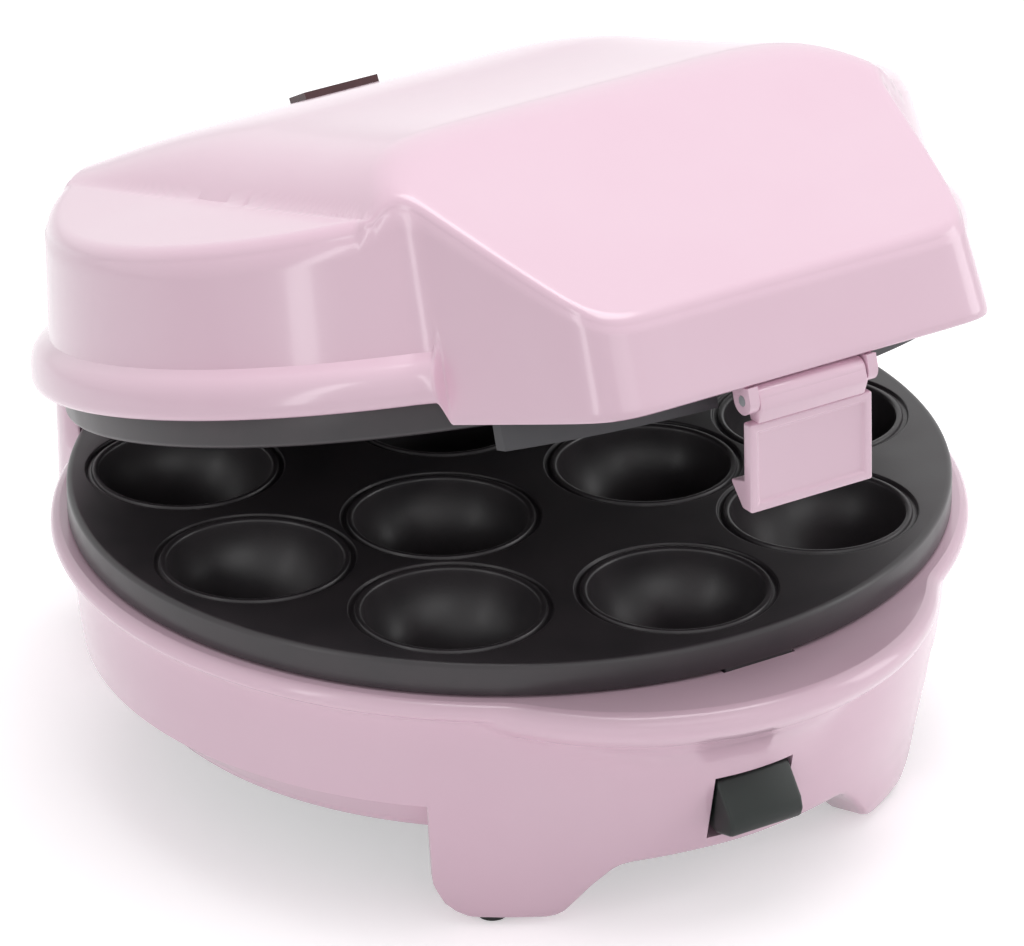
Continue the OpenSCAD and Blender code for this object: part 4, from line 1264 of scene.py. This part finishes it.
@dataclass
class Underside:
    """The small pieces that repeat underneath: cover screws and rubber pads."""

    boss_at: float = 75.8
    cover_z: float = -49.0
    head_r: float = 3.0
    head_h: float = 2.0
    length: float = 8.0
    # Half length, half width and depth of each slot of the screws' cross
    cross: tuple = (1.7, 0.35, 1.1)
    screw_facets: int = 28
    pad_x: float = 52.25
    pad_ring: float = 89.3
    pad_r: float = 3.4
    pad_h: float = 1.5
    pad_facets: int = 40

    def screw(self) -> Part:
        """One cover screw.

        Returns:
            A pan head that looks down, with a cross recess and a plain shank.
        """
        r, h, length = self.head_r, self.head_h, self.length
        line = [(0, -h), (r * 0.55, -h + 0.06), (r * 0.85, -h + 0.35), (r, -h * 0.45), (r, -0.1),
                (r - 0.1, 0), (r / 2, 0), (r / 2, length - 1), (0.4, length), (0, length)]
        screw = revolved(line, self.screw_facets)
        long, narrow, deep = self.cross
        for x, y in ((long, narrow), (narrow, long)):
            screw = cut_away(screw, [box_part((-x, -y, -h - 1), (x, y, -h + deep))])
        return closed(screw)

    def pad(self) -> Part:
        """One rubber pad.

        Returns:
            A disc with a rounded lower edge and a hollow foot.
        """
        r, h = self.pad_r, self.pad_h
        line = [(0, h), (r, h), (r, 0.45), (r - 0.13, 0.13), (r - 0.45, 0), (r - 1.1, 0), (r - 1.25, 0.25),
                (0, 0.25)]
        return closed(revolved(line, self.pad_facets))

    def build(self, finishes: Finishes, repeater: Repeater) -> None:
        """Makes the screws and the pads.

        Args:
            finishes: All the finishes.
            repeater: Sets them on their places.
        """
        turns = np.radians([45, 135, 225, 315])
        places = np.stack([self.boss_at * np.cos(turns), self.boss_at * np.sin(turns),
                           np.full(4, self.cover_z)], 1)
        screws = repeater.spread(self.screw(), places, finishes.of(Slot.STEEL))
        piece("cover_screws", at_mate(screws), finishes, Body.BASE, Slot.STEEL, "bottom_screws")
        y = math.sqrt(self.pad_ring**2 - self.pad_x**2)
        places = np.array([(sx * self.pad_x, sy * y, 0.0) for sx in (-1, 1) for sy in (-1, 1)])
        pads = repeater.spread(self.pad(), places, finishes.of(Slot.RUBBER))
        piece("foot_pads", pads, finishes, Body.BASE, Slot.RUBBER, "rubber_feet")


@dataclass
class PhotoCamera:
    """The photograph's viewpoint, found by fitting ellipses of the plate and the pits."""

    azimuth: float = -32.79
    elevation: float = 25.632
    distance: float = 1855.8
    lens: float = 283.1
    sensor: float = 36.0
    roll: float = 0.557
    shift_x: float = 0.0028
    shift_y: float = -0.0101
    # Nearest and farthest distance that it sees, in metres
    clip: tuple = (0.05, 20.0)

    def build(self) -> None:
        """Makes the camera and sets it as the scene's own."""
        az, el = math.radians(self.azimuth), math.radians(self.elevation)
        out = Vector((math.sin(az) * math.cos(el), -math.cos(az) * math.cos(el), math.sin(el)))
        target = Vector((0.0, 0.0, Maker.mate_z * MM))
        data = bpy.data.cameras.new("photo_camera")
        data.lens, data.sensor_width = self.lens, self.sensor
        data.shift_x, data.shift_y = self.shift_x, self.shift_y
        data.clip_start, data.clip_end = self.clip
        camera = bpy.data.objects.new("photo_camera", data)
        turn = (-out).to_track_quat("-Z", "Y").to_matrix().to_4x4()
        roll = Matrix.Rotation(math.radians(-self.roll), 4, "Z")
        camera.matrix_world = Matrix.Translation(target + out * self.distance * MM) @ turn @ roll
        bpy.context.scene.collection.objects.link(camera)
        bpy.context.scene.camera = camera


@dataclass(frozen=True)
class SoftLamp:
    """One area lamp: its name, place, aim, width and height in metres, and power in watts."""

    name: str
    at: tuple[float, float, float]
    to: tuple[float, float, float]
    width: float
    height: float
    power: float

    def build(self) -> None:
        """Makes the lamp."""
        data = bpy.data.lights.new(self.name, "AREA")
        data.shape, data.size, data.size_y, data.energy = "RECTANGLE", self.width, self.height, self.power
        lamp = bpy.data.objects.new(self.name, data)
        lamp.location = self.at
        lamp.rotation_euler = (Vector(self.to) - Vector(self.at)).to_track_quat("-Z", "Y").to_euler()
        bpy.context.scene.collection.objects.link(lamp)


@dataclass
class Studio:
    """Pale floor, plain soft lamps and a white surround."""

    lamps: tuple = (
        SoftLamp("top_softbox", (0.1, 0.0, 1.3), (0.0, 0.0, 0.06), 1.1, 0.9, 10.0),
        SoftLamp("left_strip", (-1.3, -0.2, 0.5), (0.0, 0.0, 0.1), 0.16, 1.0, 1.5),
        SoftLamp("front_fill", (-0.3, -1.6, 0.8), (0.0, 0.0, 0.1), 1.2, 0.7, 1.8),
        SoftLamp("right_fill", (1.3, -0.7, 0.5), (0.0, 0.0, 0.05), 0.6, 0.9, 3.6),
    )
    floor_half: float = 6.0
    floor_colour: str = "F4F3F4"
    floor_rough: float = 0.9
    # How much the floor glows, and how bright the surround is, as soft light and as seen directly
    floor_glow: tuple = (0.0, 0.42)
    surround: tuple = (0.36, 1.0)

    def brightness(self, tree: bpy.types.NodeTree, levels: tuple[float, float]) -> bpy.types.NodeSocket:
        """Gives a surface one brightness as soft light and another as it is seen.

        Args:
            tree: The surface's node tree.
            levels: Brightness for soft light, and for rays from the camera, a mirror or glass.

        Returns:
            A socket with the brightness.
        """
        path = add_node(tree, "ShaderNodeLightPath").outputs
        mirror = add_node(tree, "ShaderNodeMath", {
            0: path["Is Glossy Ray"], 1: path["Is Transmission Ray"]}, operation="MAXIMUM")
        seen = add_node(tree, "ShaderNodeMath", {0: path["Is Camera Ray"], 1: mirror.outputs[0]},
                        operation="MAXIMUM")
        return add_node(tree, "ShaderNodeMapRange", {
            "Value": seen.outputs[0], "To Min": levels[0], "To Max": levels[1]}).outputs["Result"]

    def floor(self) -> None:
        """Makes the floor."""
        half = self.floor_half
        mesh = bpy.data.meshes.new("floor")
        mesh.from_pydata([(-half, -half, 0), (half, -half, 0), (half, half, 0), (-half, half, 0)], [],
                         [(0, 1, 2, 3)])
        floor = bpy.data.objects.new("floor", mesh)
        bpy.context.scene.collection.objects.link(floor)
        # Matt white paint on a board: pale, with no reflection of the maker
        paint = bpy.data.materials.new("white_studio_floor")
        paint.use_nodes = True
        tree = paint.node_tree
        inputs = tree.nodes["Principled BSDF"].inputs
        inputs["Base Color"].default_value = linear(self.floor_colour)
        inputs["Roughness"].default_value = self.floor_rough
        inputs["Emission Color"].default_value = (1, 1, 1, 1)
        tree.links.new(self.brightness(tree, self.floor_glow), inputs["Emission Strength"])
        mesh.materials.append(paint)

    def build(self) -> None:
        """Makes the floor, the lamps and the surround."""
        self.floor()
        for lamp in self.lamps:
            lamp.build()
        world = bpy.data.worlds.new("studio")
        world.use_nodes = True
        bpy.context.scene.world = world
        tree = world.node_tree
        inputs = tree.nodes["Background"].inputs
        tree.links.new(self.brightness(tree, self.surround), inputs["Strength"])
        inputs["Color"].default_value = (1, 1, 1, 1)


def dress_nodes(finishes: Finishes) -> None:
    """Gives every construction node the finish of its slot.

    Args:
        finishes: All the finishes.
    """
    slots = {row["node"]: row["material_slot"] for row in frame["record"]["subparts"]}
    for name, node in frame["nodes"].items():
        node.data.materials.clear()
        node.data.materials.append(finishes.of(Slot(slots[name])))


def main() -> None:
    """Builds every sub-assembly in order and the scene around them."""
    logging.basicConfig(level=logging.INFO, format="%(message)s")
    bpy.context.scene.view_settings.view_transform = "Standard"
    PhotoCamera().build()
    finishes = Finishes()
    dress_nodes(finishes)
    repeater = Repeater()
    BaseHousing().build(finishes)
    LidHousing().build(finishes)
    CookingPlate().build(finishes, repeater)
    Latch().build(finishes)
    ReleaseLever().build(finishes)
    Underside().build(finishes, repeater)
    Studio().build()


if __name__ == "__main__":
    main()
